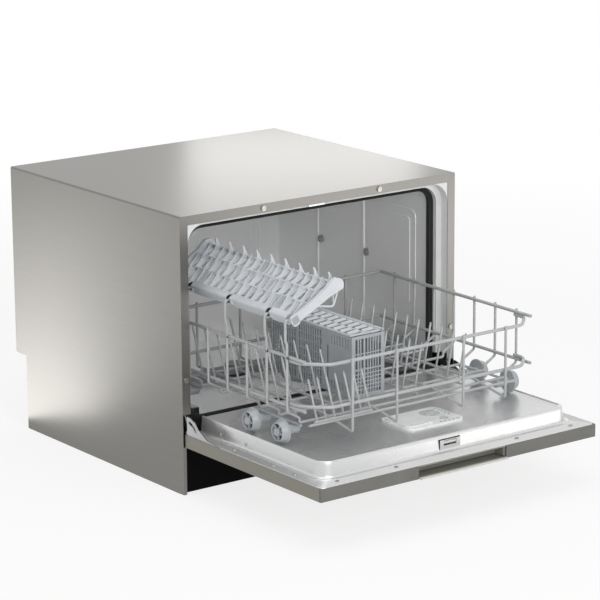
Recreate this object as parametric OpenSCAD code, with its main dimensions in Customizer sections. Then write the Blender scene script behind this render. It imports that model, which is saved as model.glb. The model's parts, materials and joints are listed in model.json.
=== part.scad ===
// Countertop dishwasher with a drop-down door and a basket that rolls out over it.
// The origin is on the counter, at the centre of the cabinet's footprint.
// The door faces -Y, X runs across and Z is up. The door is drawn open and the basket rolled out.

/* [Cabinet] */
// Width over the steel cover
cab_w = 551; // [540:1:562]
// Depth from the front returns to the back
cab_d = 500; // [490:1:520]
// Height above the counter
cab_h = 450; // [444:1:462]
// Thickness of the cover's sheet
sheet = 1; // [0.8:0.1:1.2]
// Width of the cover's front returns
lip_w = 15; // [13:0.5:16]
// Outer radius of the cover's top folds
fold_r = 3; // [2:0.5:5]
// How far the lower back is set in
notch_d = 32; // [26:1:36]
// Height of the lower back
notch_h = 129; // [120:1:136]
// Height of the black plinth panel
kick_h = 78; // [70:1:79]

/* [Tub] */
// Space between the tub and the cover's side
side_gap = 26.5; // [24:0.5:28]
// Space between the tub and the cover's top
top_gap = 26; // [24:1:28]
// Space between the tub and the back
back_gap = 45; // [42:1:48]
// Height of the tub's floor
tub_floor = 97; // [95:0.5:98]
// Thickness of the tub's sheet
tub_t = 1; // [0.8:0.1:1.2]
// Inner radius of the tub's corners
tub_r = 20; // [16:1:22]
// Depth of the pale frame round the mouth
jamb_d = 25; // [24:0.5:27]
// Depth of the door gasket
gasket_d = 13; // [11:0.5:14]
// Width of the door gasket
gasket_w = 8; // [6:0.5:9]

/* [Door] */
// Distance of the hinge pins in front of the cabinet
hinge_out = 6; // [5.5:0.5:8]
// Height of the hinge pins
hinge_z = 97; // [96:0.5:99]
// Radius of the hinge pins
pin_r = 5; // [4:0.5:6]
// Radial clearance of a pin in its bore
fit = 0.05; // [0.03:0.01:0.08]
// Thickness of the door's outer panel
shell_t = 21; // [19:0.5:22]
// Thickness of the door's sheet
door_sheet = 1; // [0.8:0.1:1.2]
// Gap between the closed door's top edge and the cover's top
door_top_gap = 5; // [3:0.5:8]
// Height of the liner's pan above its flange
pan_h = 23; // [22.5:0.1:23.2]
// Height of the rim round the pan
rim_h = 2.5; // [1.5:0.25:2.5]
// Width of the rim round the pan
rim_w = 5; // [4:0.5:5.5]
// Radius of the pan's front corners
pan_r = 24; // [18:1:30]
// Width of the handle recess
handle_w = 174; // [140:1:200]
// Depth of the handle recess
handle_d = 24; // [18:0.5:26]
// How far the pull lip stands out
pull_out = 6; // [4:0.5:8]
// Radius of the hinge sectors
sector_r = 34; // [30:0.5:35]

/* [Basket] */
// How far the basket is rolled out
roll = 300; // [290:1:302]
// Radius of the basket's rails
rail_r = 2.75; // [2.5:0.05:3]
// Radius of the basket's other wires
wire_r = 2.1; // [1.9:0.05:2.4]
// Radius of the plate tines
tine_r = 1.7; // [1.5:0.05:2]
// Length of the basket
bk_len = 402; // [392:1:404]
// Height of the side grilles' upper rails
rail_hi = 264; // [256:1:268]
// Height of the side grilles' lower rails
rail_lo = 187; // [184:1:196]
// Step between the floor's cross wires
hoop_pitch = 52; // [50:0.5:53]
// Height of the floor's cross wires
floor_z = 158; // [157:0.5:160]
// Height of the feet under the front grille
foot_z = 148; // [146:0.5:152]
// Outer radius of the wheels
wheel_r = 19.5; // [18.5:0.25:20]
// Width of the wheels
wheel_w = 13; // [11:0.5:13]
// Radius of the wheel pins
axle_r = 4; // [3:0.25:5]
// Height of the plate tines
tine_h = 86; // [70:1:92]

/* [Cup shelf] */
// Height of the shelf's hinge
shelf_z = 322; // [318:1:326]
// Width of the shelf
shelf_w = 95; // [85:1:98]
// Length of the shelf
shelf_len = 345; // [320:1:350]
// Tilt of the shelf
shelf_tilt = 27; // [20:1:30]
// Step between the shelf's fins
fin_pitch = 37; // [30:0.5:40]
// Thickness of a fin
fin_t = 2.2; // [1.8:0.1:3]
// Height of the tall teeth
tooth_h = 22; // [16:0.5:24]

/* [Cutlery basket] */
// Width of the cutlery basket
cut_w = 64; // [56:1:66]
// Length of the cutlery basket
cut_len = 213; // [195:1:216]
// Height of the cutlery basket
cut_h = 98; // [90:1:99]
// Thickness of its walls
cut_t = 2; // [1.6:0.1:2.4]

/* [Hidden] */
$fn = 48;

seat = 0.3;      // gap between pieces that rest on or slide along each other
weld = 0.4;      // how far two wires sink into each other at a weld
floor_weld = 0.9;  // the same where the floor's wires cross
e = 1;           // how far a cut runs past a face

// Cabinet
front_y = -cab_d / 2;
back_y = cab_d / 2;
in_x = cab_w / 2 - sheet;
low_back_y = back_y - notch_d;
strip_w = 6;             // width of the returns beside the plinth
skirt_z = 1;             // height of the cover's lower edges
return_z = 132;          // where the side returns end, over the hinges
strip_z = hinge_z - 18;  // top of the returns beside the plinth
rear_t = 1;
base_z = 8;              // height of the base tray's floor
base_t = 1.5;
rim_base = 14;           // width of the base tray's rim
base_front = front_y + 12;
base_wall = 34;          // top of the base tray's side walls
plinth_t = 2;
foot_r = 16;
foot_x = in_x - rim_base - foot_r - 24.5;
foot_y = [front_y + 60, low_back_y - 50];
screw_x = 116;
screw_z = 188;
head_r = 4.2;
head_h = 2.6;
vent_x = 60;
vent_step = [12, 14];
vent_z = [cab_h - 120, cab_h - 50];
vent_r = 3;

// Water and power fittings on the set-in lower back
fitting_z = 58;
inlet_x = -(in_x - 84.5);
drain_x = -(in_x - 144.5);
cable_x = in_x - 69.5;
thread_r = 13.2;
thread_l = 14;
valve = [36, 40];        // width and height of the inlet valve's body
spigot_r = 9.5;
spigot_l = 26;
gland_r = 9;
cable_r = 4.5;
nut_r = 13;

// Tub
tub_x = in_x - side_gap;
tub_top = cab_h - top_gap;
tub_back = back_y - back_gap;
jamb_y = front_y + jamb_d;
tub_front = jamb_y + gasket_d;
mouth_x = tub_x + 2;
mouth_top = tub_top + 4;
mouth_r = tub_r + 10;
gasket_x = mouth_x - gasket_w;
leg_z = 142;             // where the frame's legs end, over the hinges
ring_d = 8;              // depth of the frame's inner ring, next to the gasket
gate_x = cab_w / 2 - lip_w;
gate_top = cab_h - lip_w;
gate_r = 34;             // radius of the frame's corners behind the front returns
rail_top = hinge_z + hinge_out - 1 + pan_h;
ledge_w = 34;
ledge_t = 3;
ledge_lip = [1.5, 12];
press_y = [-54, -182];   // ends of the panel pressed into the tub's sides
press_z = [tub_floor + 118, tub_top - 46];
press_step = 14;         // how far the inner panel's edges lie inside the outer one's
press_h = 1.2;
bead_r = 2.5;
bead_z = rail_top + 8;
bead_h = tub_top - rail_top - 30;
side_bead_y = [-41, 89];
rear_bead_x = [tub_x - 62, tub_x - 44];
plug_y = [79, -49];
plug_z = 282;
plug_r = 7;
plug_h = 3;
sump_z = 40;
sump_wall = 6;
duct_z = 75;
duct_r = 11;
filter_r = 28;
filter_wall = 3;
filter_z = 44;
well_x = 105;
well_y = -85;
well_r = 50;
hub_y = -5;
hub_r = 14;
hub_h = 5;
hub_pin = 6;
arm_l = 168;             // length of the spray arm's blades
arm_h = 9;
blade = [15, 10];        // half width of a blade at its hub and at its tip
jet_step = 24;
jet_r = 1.8;
pump_z = 52;
pump_r = 31;
pump_x = [-118, -30];
pump_y = 62;
drain_pump_x = well_x + well_r + 35;
drain_pump_l = 50;
drain_pump_r = 19;
heater_r = 15;
heater_x = [-100, 70];
heater_y = 150;
low_z = 50;              // height of the heater and the drain pump
spring_z = 60;
spring_r = 6;

// Door
hinge_y = front_y - hinge_out;
liner_z = hinge_z + hinge_out - 1;
shell_top = liner_z - door_sheet;
shell_z = shell_top - shell_t;
door_x = in_x - 1.5;
door_front = hinge_y - (cab_h - door_top_gap - hinge_z);
door_back = hinge_y + 12;
pan_x = mouth_x - 4;
pan_back = hinge_y - 1;
pan_front = door_front + 32;
pan_z = liner_z + pan_h;
strip_d = 4;             // depth of the strip across the door's top edge
arm_t = 2;
arm_reach = 90;
arm_w = 5;               // width of the hinge sectors' curved plates
boss_r = 10;             // radius of the hinge arms round their pins
flange_screw_y = [80, 134, 236];
flange_screw_x = [-door_x + 41, -120, 120, door_x - 41];
disp_x = 20;
disp_y = pan_front + 92;
disp_w = 112;
disp_l = 80;
disp_z = pan_z + 3;
cup_w = 48;
cup_l = 56;
fascia_y = pan_front + 18;
fascia_w = 300;
fascia_l = 30;
button_r = 7;
button_gap = 0.3;
fascia_t = 3;
fascia_rim = 6;
button_x = [-120, -80, 80, 120];
board_x = 140;
board_z = shell_z + 9;
bolt_w = 24;
bolt_l = 42.5;
bolt_h = 8;
bolt_z = liner_z + 12;
cap_x = disp_x + 26;
cap_y = disp_y + 14;
cap_r = 16;
release_y = disp_y - 22;
release_r = 7;
soap_x = disp_x - 50;
soap_depth = 11;

// Basket, drawn rolled out
bk_in = hinge_y + (pan_z + rim_h - hinge_z) + 5.5;  // front of the basket when it is in
bk_front = bk_in - roll;
bk_rear = bk_front + bk_len;
bk_x = tub_x - 24;
up_x = bk_x + rail_r + wire_r - weld;
jog_x = bk_x - 18;
hoops = 7;
hoop_y = bk_rear - 32;
tall = [1, 3, 5, 6];
front_up = [-152, -66, 66, 152];
corner = 34;             // how far the front grille cuts the basket's corners
side_lap = 24;           // how far the front grille's ends run along the side rails
first_hoop = bk_front + 34;
left_rows = [-186, -112];
right_rows = [28, 118];
left_lean = 20;
right_lean = -12;
small_tine_h = 66;
small_tines = [-190, -88];
small_bar_r = 2;         // radius of the wire that carries the small tines
long_z = floor_z + 2 * wire_r - floor_weld;
wheel_x = bk_x;                     // inner face of the wheels
wheel_z = rail_top + seat + wheel_r;
bogie = [bk_front + 74, bk_front + 150, bk_rear - 60, bk_rear - 8];
sleeve_r = 7;
tread_d = 2;             // how far the tread lies inside the flange
flange_t = 2.5;
wheel_hub = 9;
hollow_d = 4;            // depth of the ring sunk between hub and tread

// Cup shelf
shelf_x = -(up_x - 9.4);
shelf_front = bk_front + 48;
peg_r = 2.2;
peg_len = 16;
slot_len = 10;
spine = [7, 9];          // half width and half height of the shelf's hinge rail
rail_u = [36, 65];       // how far the shelf's rails lie from its hinge
bar = [4, 3];            // width and half height of those rails
first_fin = 14;
end_bar = 9;             // width of the bars across the shelf's ends

// Cutlery basket
cut_x = -76;
cut_front = bk_front + 95;
cut_z = long_z + wire_r + seat;
panel_l = cut_len * 0.34;  // length of the smooth panel at the front of the side walls
rib = 2.4;
lid_rib = 4.5;
divider_t = 1.6;
lid_t = 2.6;
knuckle_r = 2.8;
knuckle_pin = 1.2;
lug = 4;

function span(a, b, n) = [for (i = [0:n - 1]) a + (b - a) * i / (n - 1)];

// Rectangle x0..x1, y0..y1 with all four corners rounded
module rrect(x0, x1, y0, y1, r) {
    translate([x0 + r, y0]) square([x1 - x0 - 2 * r, y1 - y0]);
    translate([x0, y0 + r]) square([x1 - x0, y1 - y0 - 2 * r]);
    for (x = [x0 + r, x1 - r], y = [y0 + r, y1 - r]) translate([x, y]) circle(r);
}

// Box between two corners
module block(a, b) {
    translate(a) cube(b - a);
}

// Extrudes a drawing of X and Z along Y, from y0 to y1
module along_y(y0, y1) {
    translate([0, y1, 0]) rotate([90, 0, 0]) linear_extrude(y1 - y0) children();
}

// Extrudes a drawing of Y and Z along X, from x0 to x1
module along_x(x0, x1) {
    translate([x0, 0, 0]) rotate([90, 0, 90]) linear_extrude(x1 - x0) children();
}

module disc_x(x0, x1, y, z, r) {
    translate([x0, y, z]) rotate([0, 90, 0]) cylinder(h = x1 - x0, r = r);
}

module disc_y(y0, y1, x, z, r) {
    translate([x, y1, z]) rotate([90, 0, 0]) cylinder(h = y1 - y0, r = r);
}

module rod(a, b, r) {
    d = b - a;
    translate(a) rotate([0, acos(d[2] / norm(d)), atan2(d[1], d[0])]) cylinder(h = norm(d), r = r);
}

// Bent wire through the points p
module wire(p, r) {
    for (i = [0:len(p) - 2]) rod(p[i], p[i + 1], r);
    if (len(p) > 2) for (i = [1:len(p) - 2]) translate(p[i]) sphere(r * 1.05);
}

module both() {
    children();
    mirror([1, 0, 0]) children();
}

// ---- Cabinet ----

module outer_cover() color("#b9b7b2") {
    difference() {
        along_y(front_y, back_y) difference() {
            union() {
                rrect(-cab_w / 2, cab_w / 2, skirt_z, cab_h, fold_r);
                translate([-cab_w / 2, skirt_z]) square([cab_w, cab_h / 2]);
            }
            translate([-in_x, skirt_z - e]) square([2 * in_x, cab_h - sheet - skirt_z - fold_r + e]);
            rrect(-in_x, in_x, skirt_z, cab_h - sheet, fold_r - sheet);
        }
        block([-cab_w, low_back_y, -e], [cab_w, back_y + e, notch_h]);
    }
    along_y(front_y, front_y + sheet) {
        translate([-in_x, cab_h - lip_w]) square([2 * in_x, lip_w - sheet]);
        for (x = [-in_x, cab_w / 2 - lip_w]) translate([x, return_z])
            square([lip_w - sheet, cab_h - return_z - lip_w / 2]);
        for (x = [-in_x, cab_w / 2 - strip_w]) translate([x, skirt_z])
            square([strip_w - sheet, strip_z - skirt_z]);
    }
}

module rear_panel() color("#8d8f90") difference() {
    union() {
        block([-in_x, back_y - rear_t, notch_h], [in_x, back_y, cab_h - sheet - fold_r]);
        block([-in_x, low_back_y - rear_t, notch_h - rear_t], [in_x, back_y, notch_h]);
        block([-in_x, low_back_y - rear_t, base_z + base_t], [in_x, low_back_y, notch_h]);
    }
    disc_y(low_back_y - rear_t - e, low_back_y + e, inlet_x, fitting_z, thread_r + 1.3);
    disc_y(low_back_y - rear_t - e, low_back_y + e, drain_x, fitting_z, spigot_r + 2);
    disc_y(low_back_y - rear_t - e, low_back_y + e, cable_x, fitting_z, gland_r + 0.2);
    for (x = [-vent_x:vent_step[0]:vent_x], z = [vent_z[0]:vent_step[1]:vent_z[1]])
        disc_y(back_y - rear_t - e, back_y + e, x, z, vent_r);
}

module base_tray() color("#5c5e60") {
    y0 = base_front;
    y1 = low_back_y - rear_t;
    difference() {
        block([-in_x, y0, 0], [in_x, y1, base_z + base_t]);
        block([-in_x + rim_base, y0 + rim_base, -e], [in_x - rim_base, y1 - rim_base, base_z]);
    }
    for (x = [-in_x, in_x - base_t]) block([x, y0, base_z], [x + base_t, y1, base_wall]);
}

module kick_plate() color("#0c0c0d") {
    block([-in_x, base_front - plinth_t, skirt_z], [in_x, base_front, kick_h]);
}

module feet() color("#1b1b1c") {
    for (x = [-foot_x, foot_x], y = foot_y) translate([x, y, 0]) cylinder(h = base_z, r = foot_r);
}

module cover_screws() color("#d6d5d2") {
    for (x = [-screw_x, screw_x]) pan_head(x, cab_h - lip_w / 2);
    both() pan_head(cab_w / 2 - lip_w / 2, screw_z);
}

// Screw head on the front returns, with its shank through the sheet
module pan_head(x, z) difference() {
    union() {
        disc_y(front_y - head_h + 0.6, front_y, x, z, head_r);
        disc_y(front_y - head_h, front_y, x, z, head_r - 1);
    }
    for (a = [20, 110]) translate([x, front_y - head_h, z]) rotate([0, a, 0])
        cube([head_r, 1.8, 0.9], center = true);
}

module tub_profile(g) {
    rrect(-tub_x - g, tub_x + g, tub_floor - g, tub_top + g, tub_r + g);
}

module tub_shell() color("#cfcfcd") {
    difference() {
        along_y(tub_front, tub_back + tub_t) tub_profile(tub_t);
        along_y(tub_front - e, tub_back) tub_profile(0);
        translate([well_x, well_y, tub_floor - tub_t - e]) cylinder(h = tub_t + 2 * e, r = well_r);
        translate([0, hub_y, tub_floor - tub_t - e]) cylinder(h = tub_t + 2 * e, r = hub_r);
    }
    both() difference() {
        union() {
            wall_panel(0, press_h, press_step);
            wall_panel(press_step, 2 * press_h, press_step / 2);
            for (y = side_bead_y) translate([tub_x, y, bead_z]) cylinder(h = bead_h, r = bead_r);
        }
        for (y = plug_y) disc_x(tub_x - plug_h - e, tub_x, y, plug_z, plug_r + seat);
    }
    both() for (x = rear_bead_x) translate([x, tub_back, bead_z]) cylinder(h = bead_h, r = bead_r);
}

// Rounded panel pressed into the tub's side, proud of it by h, its edges g inside the outer panel's
module wall_panel(g, h, r) {
    along_x(tub_x - h, tub_x + tub_t / 2)
        rrect(press_y[1] + g, press_y[0] - g, press_z[0], press_z[1] - g, r);
}

// Pale frame behind the front returns, with a narrower ring next to the gasket
module front_frame() color("#d9dad8") difference() {
    along_y(front_y + sheet, jamb_y)
        translate([-in_x, leg_z]) square([2 * in_x, cab_h - sheet - fold_r - leg_z]);
    along_y(front_y, jamb_y - ring_d) rrect(-gate_x, gate_x, 0, gate_top, gate_r);
    along_y(front_y, jamb_y + e) rrect(-mouth_x, mouth_x, 0, mouth_top, mouth_r);
}

module door_gasket() color("#141415") along_y(jamb_y, tub_front) difference() {
    rrect(-mouth_x, mouth_x, tub_floor - tub_t, mouth_top, mouth_r);
    rrect(-gasket_x, gasket_x, tub_floor + 21, mouth_top - gasket_w, mouth_r - 6);
}

module wall_plugs() color("#bfc0bf") both() for (y = plug_y) difference() {
    disc_x(tub_x - plug_h, tub_x, y, plug_z, plug_r);
    disc_x(tub_x - plug_h - e, tub_x - plug_h + e, y, plug_z, plug_r - 2.5);
}

module basket_rails() color("#c4c5c3") both() {
    block([tub_x - ledge_w, tub_front + 6, rail_top - ledge_t], [tub_x, tub_back - 5, rail_top]);
    block([tub_x - ledge_w, tub_front + 6, rail_top - ledge_lip[1]],
        [tub_x - ledge_w + ledge_lip[0], tub_back - 5, rail_top]);
}

module sump() color("#3a3d40") difference() {
    union() {
        translate([well_x, well_y, sump_z]) cylinder(h = tub_floor - tub_t - sump_z, r = well_r + sump_wall);
        translate([0, hub_y, duct_z - 13]) cylinder(h = tub_floor - tub_t - duct_z + 13, r = 2 * duct_r);
        rod([well_x, well_y, duct_z], [0, hub_y, duct_z], duct_r);
    }
    translate([well_x, well_y, filter_z]) cylinder(h = tub_floor, r = well_r);
    translate([0, hub_y, sump_z]) cylinder(h = tub_floor, r = duct_r - 2);
}

module fine_filter() color("#9fa2a3") translate([well_x, well_y, tub_floor]) difference() {
    cylinder(h = 1.5, r = well_r + 4);
    translate([0, 0, -e]) cylinder(h = 4, r = filter_r);
    for (a = [0:20:340]) rotate(a) translate([filter_r + 10, 0, -e]) cylinder(h = 4, r = 3);
}

module coarse_filter() color("#70757a") translate([well_x, well_y, 0]) {
    difference() {
        translate([0, 0, filter_z + seat]) cylinder(h = tub_floor + 2 - filter_z - seat, r = filter_r - seat);
        translate([0, 0, filter_z + 4]) cylinder(h = tub_floor, r = filter_r - filter_wall);
        for (a = [0:45:315], z = [12, 24, 36]) rotate(a) translate([filter_r - 2, 0, filter_z + z])
            rotate([0, 90, 0]) cylinder(h = 10, r = 3, center = true);
    }
    block([-filter_r + 2, -2, tub_floor - 2], [filter_r - 2, 2, tub_floor + 4]);
}

module wash_pump() color("#4a4e52") {
    disc_x(pump_x[0], pump_x[1], pump_y, pump_z, pump_r);
    disc_x(pump_x[1], pump_x[1] + 6, pump_y, pump_z, pump_r + 5);
    rod([pump_x[1] - 10, pump_y, duct_z + 1], [-12, 10, duct_z + 1], duct_r - 1);
    block([pump_x[0] + 10, pump_y - 26, base_z + base_t], [pump_x[1] - 14, pump_y + 26, pump_z - 22]);
}

module drain_pump() color("#2f5f8a") {
    x0 = drain_pump_x - drain_pump_l / 2;
    disc_x(x0, x0 + drain_pump_l, well_y, low_z, drain_pump_r);
    block([x0 + 7, well_y - drain_pump_r + 2, base_z + base_t],
        [x0 + drain_pump_l - 9, well_y + drain_pump_r - 2, low_z - 10]);
    disc_x(well_x + well_r + 5, x0 + e, well_y, low_z, drain_pump_r - 10);
}

module flow_heater() color("#a9abad") {
    disc_x(heater_x[0], heater_x[1], heater_y, low_z, heater_r);
    for (x = [heater_x[0] + 20, heater_x[1] - 30]) block([x, heater_y - heater_r + 3, base_z + base_t],
        [x + 14, heater_y + heater_r - 3, low_z - 10]);
}

module inlet_valve() color("#e8e8e4") difference() {
    union() {
        block([inlet_x - valve[0] / 2, low_back_y - 60, fitting_z - valve[1] / 2],
            [inlet_x + valve[0] / 2, low_back_y - rear_t, fitting_z + valve[1] / 2]);
        block([inlet_x - valve[0] / 3, low_back_y - 50, base_z + base_t],
            [inlet_x + valve[0] / 3, low_back_y - 20, fitting_z - valve[1] / 2]);
        disc_y(low_back_y - rear_t, low_back_y + thread_l, inlet_x, fitting_z, thread_r);
    }
    disc_y(low_back_y - 20, low_back_y + thread_l + e, inlet_x, fitting_z, thread_r - 5.2);
}

module drain_spigot() color("#3b3d40") difference() {
    union() {
        disc_y(low_back_y - 40, low_back_y + spigot_l, drain_x, fitting_z, spigot_r);
        disc_y(low_back_y - 8, low_back_y - rear_t, drain_x, fitting_z, spigot_r + 5.5);
    }
    disc_y(low_back_y - 40 - e, low_back_y + spigot_l + e, drain_x, fitting_z, spigot_r - 2);
}

module cable_gland() color("#222324") difference() {
    union() {
        disc_y(low_back_y - 12, low_back_y + 12, cable_x, fitting_z, gland_r);
        disc_y(low_back_y, low_back_y + 4, cable_x, fitting_z, nut_r);
        disc_y(low_back_y - 6, low_back_y - rear_t, cable_x, fitting_z, nut_r);
    }
    disc_y(low_back_y - 12 - e, low_back_y + 12 + e, cable_x, fitting_z, cable_r);
}

module hinge_brackets() color("#8e9092") both() {
    x = door_x - 8;
    along_x(x, x + 3) {
        translate([hinge_y, hinge_z]) circle(9);
        polygon([[hinge_y, hinge_z - 5], [hinge_y, hinge_z + 9], [front_y + 14, leg_z],
            [jamb_y, leg_z], [jamb_y, hinge_z + 4], [front_y + 4, hinge_z + 6]]);
    }
    disc_x(x, door_x - door_sheet - seat, hinge_y, hinge_z, pin_r);
}

module balance_springs() color("#9a9c9e") both() {
    x = in_x - base_t - 9;
    disc_y(front_y + 40, front_y + 150, x, spring_z, spring_r);
    disc_y(front_y + 150, front_y + 170, x, spring_z, spring_r / 3);
    block([x - spring_r, front_y + 168, base_z + base_t], [x + spring_r, front_y + 172, spring_z + 8]);
    rod([x, front_y + 42, spring_z], [door_x - 6.5, jamb_y - 4, hinge_z + 6], spring_r / 3);
}

module latch_striker() color("#a3a5a7") {
    block([-16, jamb_y - ring_d - 3, mouth_top + 0.5], [16, jamb_y - ring_d, gate_top - 0.5]);
}

// ---- Spray arm ----

module spray_hub() color("#55595d") translate([0, hub_y, 0]) {
    translate([0, 0, tub_floor - tub_t]) cylinder(h = tub_t + 2, r = hub_r - seat);
    translate([0, 0, tub_floor]) cylinder(h = hub_h, r = hub_r + 3);
    translate([0, 0, tub_floor + hub_h]) cylinder(h = 11, r = hub_pin);
}

module spray_arm() color("#8b9094") translate([0, hub_y, tub_floor + hub_h + seat]) difference() {
    union() {
        cylinder(h = 15, r = 17);
        for (a = [0, 180]) rotate(a) {
            linear_extrude(arm_h)
                polygon([[0, -blade[0]], [0, blade[0]], [arm_l, blade[1] - 1], [arm_l, -blade[1] - 1]]);
            translate([arm_l, -1, 0]) cylinder(h = arm_h, r = blade[1]);
        }
    }
    translate([0, 0, -e]) cylinder(h = 11 + 2 * e - seat, r = hub_pin + fit);
    for (a = [0, 180], x = [45:jet_step:arm_l - 3]) rotate(a) translate([x, 2, arm_h / 2])
        cylinder(h = arm_h, r = jet_r);
}

// ---- Door ----

module door_panel() color("#aeaca7") difference() {
    block([-door_x, door_front + strip_d, shell_z], [door_x, door_back, shell_top]);
    block([-door_x + door_sheet, door_front + strip_d + door_sheet, shell_z + door_sheet],
        [door_x - door_sheet, door_back - door_sheet, shell_top + e]);
    block([-handle_w / 2 - seat, door_front - e, shell_z - e],
        [handle_w / 2 + seat, door_front + handle_d + 2 + seat, shell_top + e]);
    block([-fascia_w / 2 - seat, fascia_y - seat, shell_z - e],
        [fascia_w / 2 + seat, fascia_y + fascia_l + seat, shell_z + e + door_sheet]);
}

module pan_outline(g) {
    rrect(-pan_x + g, pan_x - g, pan_front + g, pan_back - g, pan_r - g);
    translate([-pan_x + g, pan_back - g - pan_r - 6]) square([2 * (pan_x - g), pan_r + 6]);
}

module door_liner() color("#c9cac8") difference() {
    union() {
        translate([0, 0, shell_top]) linear_extrude(door_sheet) difference() {
            translate([-door_x + 1, door_front + 1]) square([2 * door_x - 2, pan_back - door_front - 1]);
            both() translate([door_x - 16, hinge_y - sector_r + 14]) square([40, 40]);
            both() translate([door_x - door_sheet - arm_t - seat, hinge_y - arm_reach - seat])
                square([9, arm_reach + 9]);
        }
        translate([0, 0, shell_top]) linear_extrude(pan_z + rim_h - shell_top) pan_outline(0);
    }
    translate([0, 0, pan_z]) linear_extrude(rim_h + e) pan_outline(rim_w);
    translate([0, 0, pan_z]) linear_extrude(rim_h + e) translate([-pan_x + rim_w, pan_back - 40])
        square([2 * (pan_x - rim_w), 60]);
    translate([0, 0, shell_top - e]) linear_extrude(pan_z - shell_top) pan_outline(door_sheet);
    block([-bolt_w / 2 - seat, pan_front - e, bolt_z - 3 - seat],
        [bolt_w / 2 + seat, pan_front + 2, bolt_z - 3 + bolt_h + seat]);
    block([disp_x - disp_w / 2 + 2, disp_y - disp_l / 2 + 2, pan_z - 3],
        [disp_x + disp_w / 2 - 2, disp_y + disp_l / 2 - 2, pan_z + 2]);
}

// Strip across the door's top edge, with the handle recess and its pull lip
module door_handle() color("#6f706f") difference() {
    union() {
        block([-door_x, door_front, shell_z], [door_x, door_front + strip_d, shell_top]);
        block([-handle_w / 2, door_front, shell_z], [handle_w / 2, door_front + handle_d + 2, shell_top]);
        block([-handle_w / 2, door_front - pull_out, shell_z], [handle_w / 2, door_front + 1, shell_z + 3]);
    }
    block([-handle_w / 2 + 3, door_front - e, shell_z + 3],
        [handle_w / 2 - 3, door_front + handle_d, shell_top - 3]);
}

module hinge_arms() color("#bfc1c2") both() difference() {
    along_x(door_x - door_sheet - arm_t, door_x - door_sheet) difference() {
        union() {
            intersection() {
                translate([hinge_y, hinge_z]) circle(sector_r);
                translate([hinge_y - 60, shell_z + door_sheet]) square([60, 90]);
            }
            translate([hinge_y, hinge_z]) circle(boss_r);
            polygon([[hinge_y - boss_r, shell_z + door_sheet], [hinge_y - arm_reach, shell_z + door_sheet],
                [hinge_y - arm_reach, shell_top], [hinge_y - 54, liner_z + 2],
                [hinge_y - sector_r + 2, liner_z + 14], [hinge_y - boss_r, liner_z]]);
        }
        difference() {
            translate([hinge_y, hinge_z]) circle(sector_r - arm_w);
            translate([hinge_y, hinge_z]) circle(sector_r - 2 * arm_w);
            translate([hinge_y - 60, shell_z - 10]) square([120, liner_z + 8 - shell_z + 10]);
            translate([hinge_y - 4, shell_z]) square([60, 90]);
        }
    }
    disc_x(door_x - 10, door_x + 10, hinge_y, hinge_z, pin_r + fit);
}

module door_screws() color("#d8d8d6") {
    both() for (y = flange_screw_y) flange_screw(door_x - 11, door_front + y);
    for (x = flange_screw_x) flange_screw(x, door_front + 14);
}

module flange_screw(x, y) difference() {
    translate([x, y, liner_z]) cylinder(h = 1.6, r = 3.2);
    translate([x, y, liner_z + 1.4]) rotate(35) cube([4, 0.8, 1], center = true);
    translate([x, y, liner_z + 1.4]) rotate(125) cube([4, 0.8, 1], center = true);
}

module control_fascia() color("#2a2b2d") difference() {
    union() {
        block([-fascia_w / 2, fascia_y, shell_z], [fascia_w / 2, fascia_y + fascia_l, shell_z + fascia_t]);
        block([-fascia_w / 2 - fascia_rim, fascia_y - fascia_rim, shell_z + door_sheet],
            [fascia_w / 2 + fascia_rim, fascia_y + fascia_l + 3, shell_z + fascia_t]);
    }
    for (x = button_x) translate([x, fascia_y + fascia_l / 2, shell_z - e])
        cylinder(h = fascia_t + 2 * e, r = button_r + button_gap);
    block([-40, fascia_y + 6, shell_z - e], [40, fascia_y + fascia_l - 6, shell_z + 1]);
}

module control_board() color("#2f6b45") {
    block([-board_x, fascia_y - 4, board_z], [board_x, fascia_y + fascia_l + 1, board_z + 1.6]);
    for (x = [-board_x, board_x - 8])
        block([x, fascia_y + 4, shell_z + fascia_t], [x + 8, fascia_y + 12, board_z]);
}

// Push button i, which stands out of the fascia and travels inwards
module button(i) color("#c8c9ca") translate([button_x[i], fascia_y + fascia_l / 2, 0]) {
    translate([0, 0, shell_z - 1.6]) cylinder(h = fascia_t + 2.6, r = button_r);
    translate([0, 0, shell_z + fascia_t + seat]) cylinder(h = 2, r = button_r + 2);
}

module latch_bolt() color("#7d8083") {
    y0 = pan_front + 0.5;
    z0 = bolt_z - 3;
    along_x(-bolt_w / 2, bolt_w / 2) polygon([[y0, z0 + bolt_h / 2], [y0, z0 + bolt_h * 3 / 4],
        [y0 + 5, z0 + bolt_h], [y0 + bolt_l, z0 + bolt_h], [y0 + bolt_l, z0], [y0 + 5, z0]]);
}

module dispenser_body() color("#eef0f0") difference() {
    union() {
        translate([0, 0, pan_z]) linear_extrude(disp_z - pan_z) disp_outline(0);
        block([disp_x - disp_w / 2 + 3, disp_y - disp_l / 2 + 3, pan_z - 14],
            [disp_x + disp_w / 2 - 3, disp_y + disp_l / 2 - 3, pan_z]);
    }
    translate([0, 0, pan_z - soap_depth]) linear_extrude(2 * soap_depth) rrect(soap_x, soap_x + cup_w,
        disp_y - cup_l / 2, disp_y + cup_l / 2, 8);
    translate([cap_x, cap_y, pan_z - 6]) cylinder(h = 20, r = cap_r + seat);
    translate([cap_x, release_y, pan_z - 6]) cylinder(h = 20, r = release_r + seat);
}

module disp_outline(g) {
    rrect(disp_x - disp_w / 2 + g, disp_x + disp_w / 2 - g, disp_y - disp_l / 2 + g,
        disp_y + disp_l / 2 - g, 12);
}

module dispenser_lid() color("#f6f7f7") translate([0, 0, disp_z + 0.2]) linear_extrude(2.4)
    rrect(soap_x - 3, soap_x + cup_w + 3, disp_y - cup_l / 2 - 4, disp_y + cup_l / 2 + 4, 9);

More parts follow.
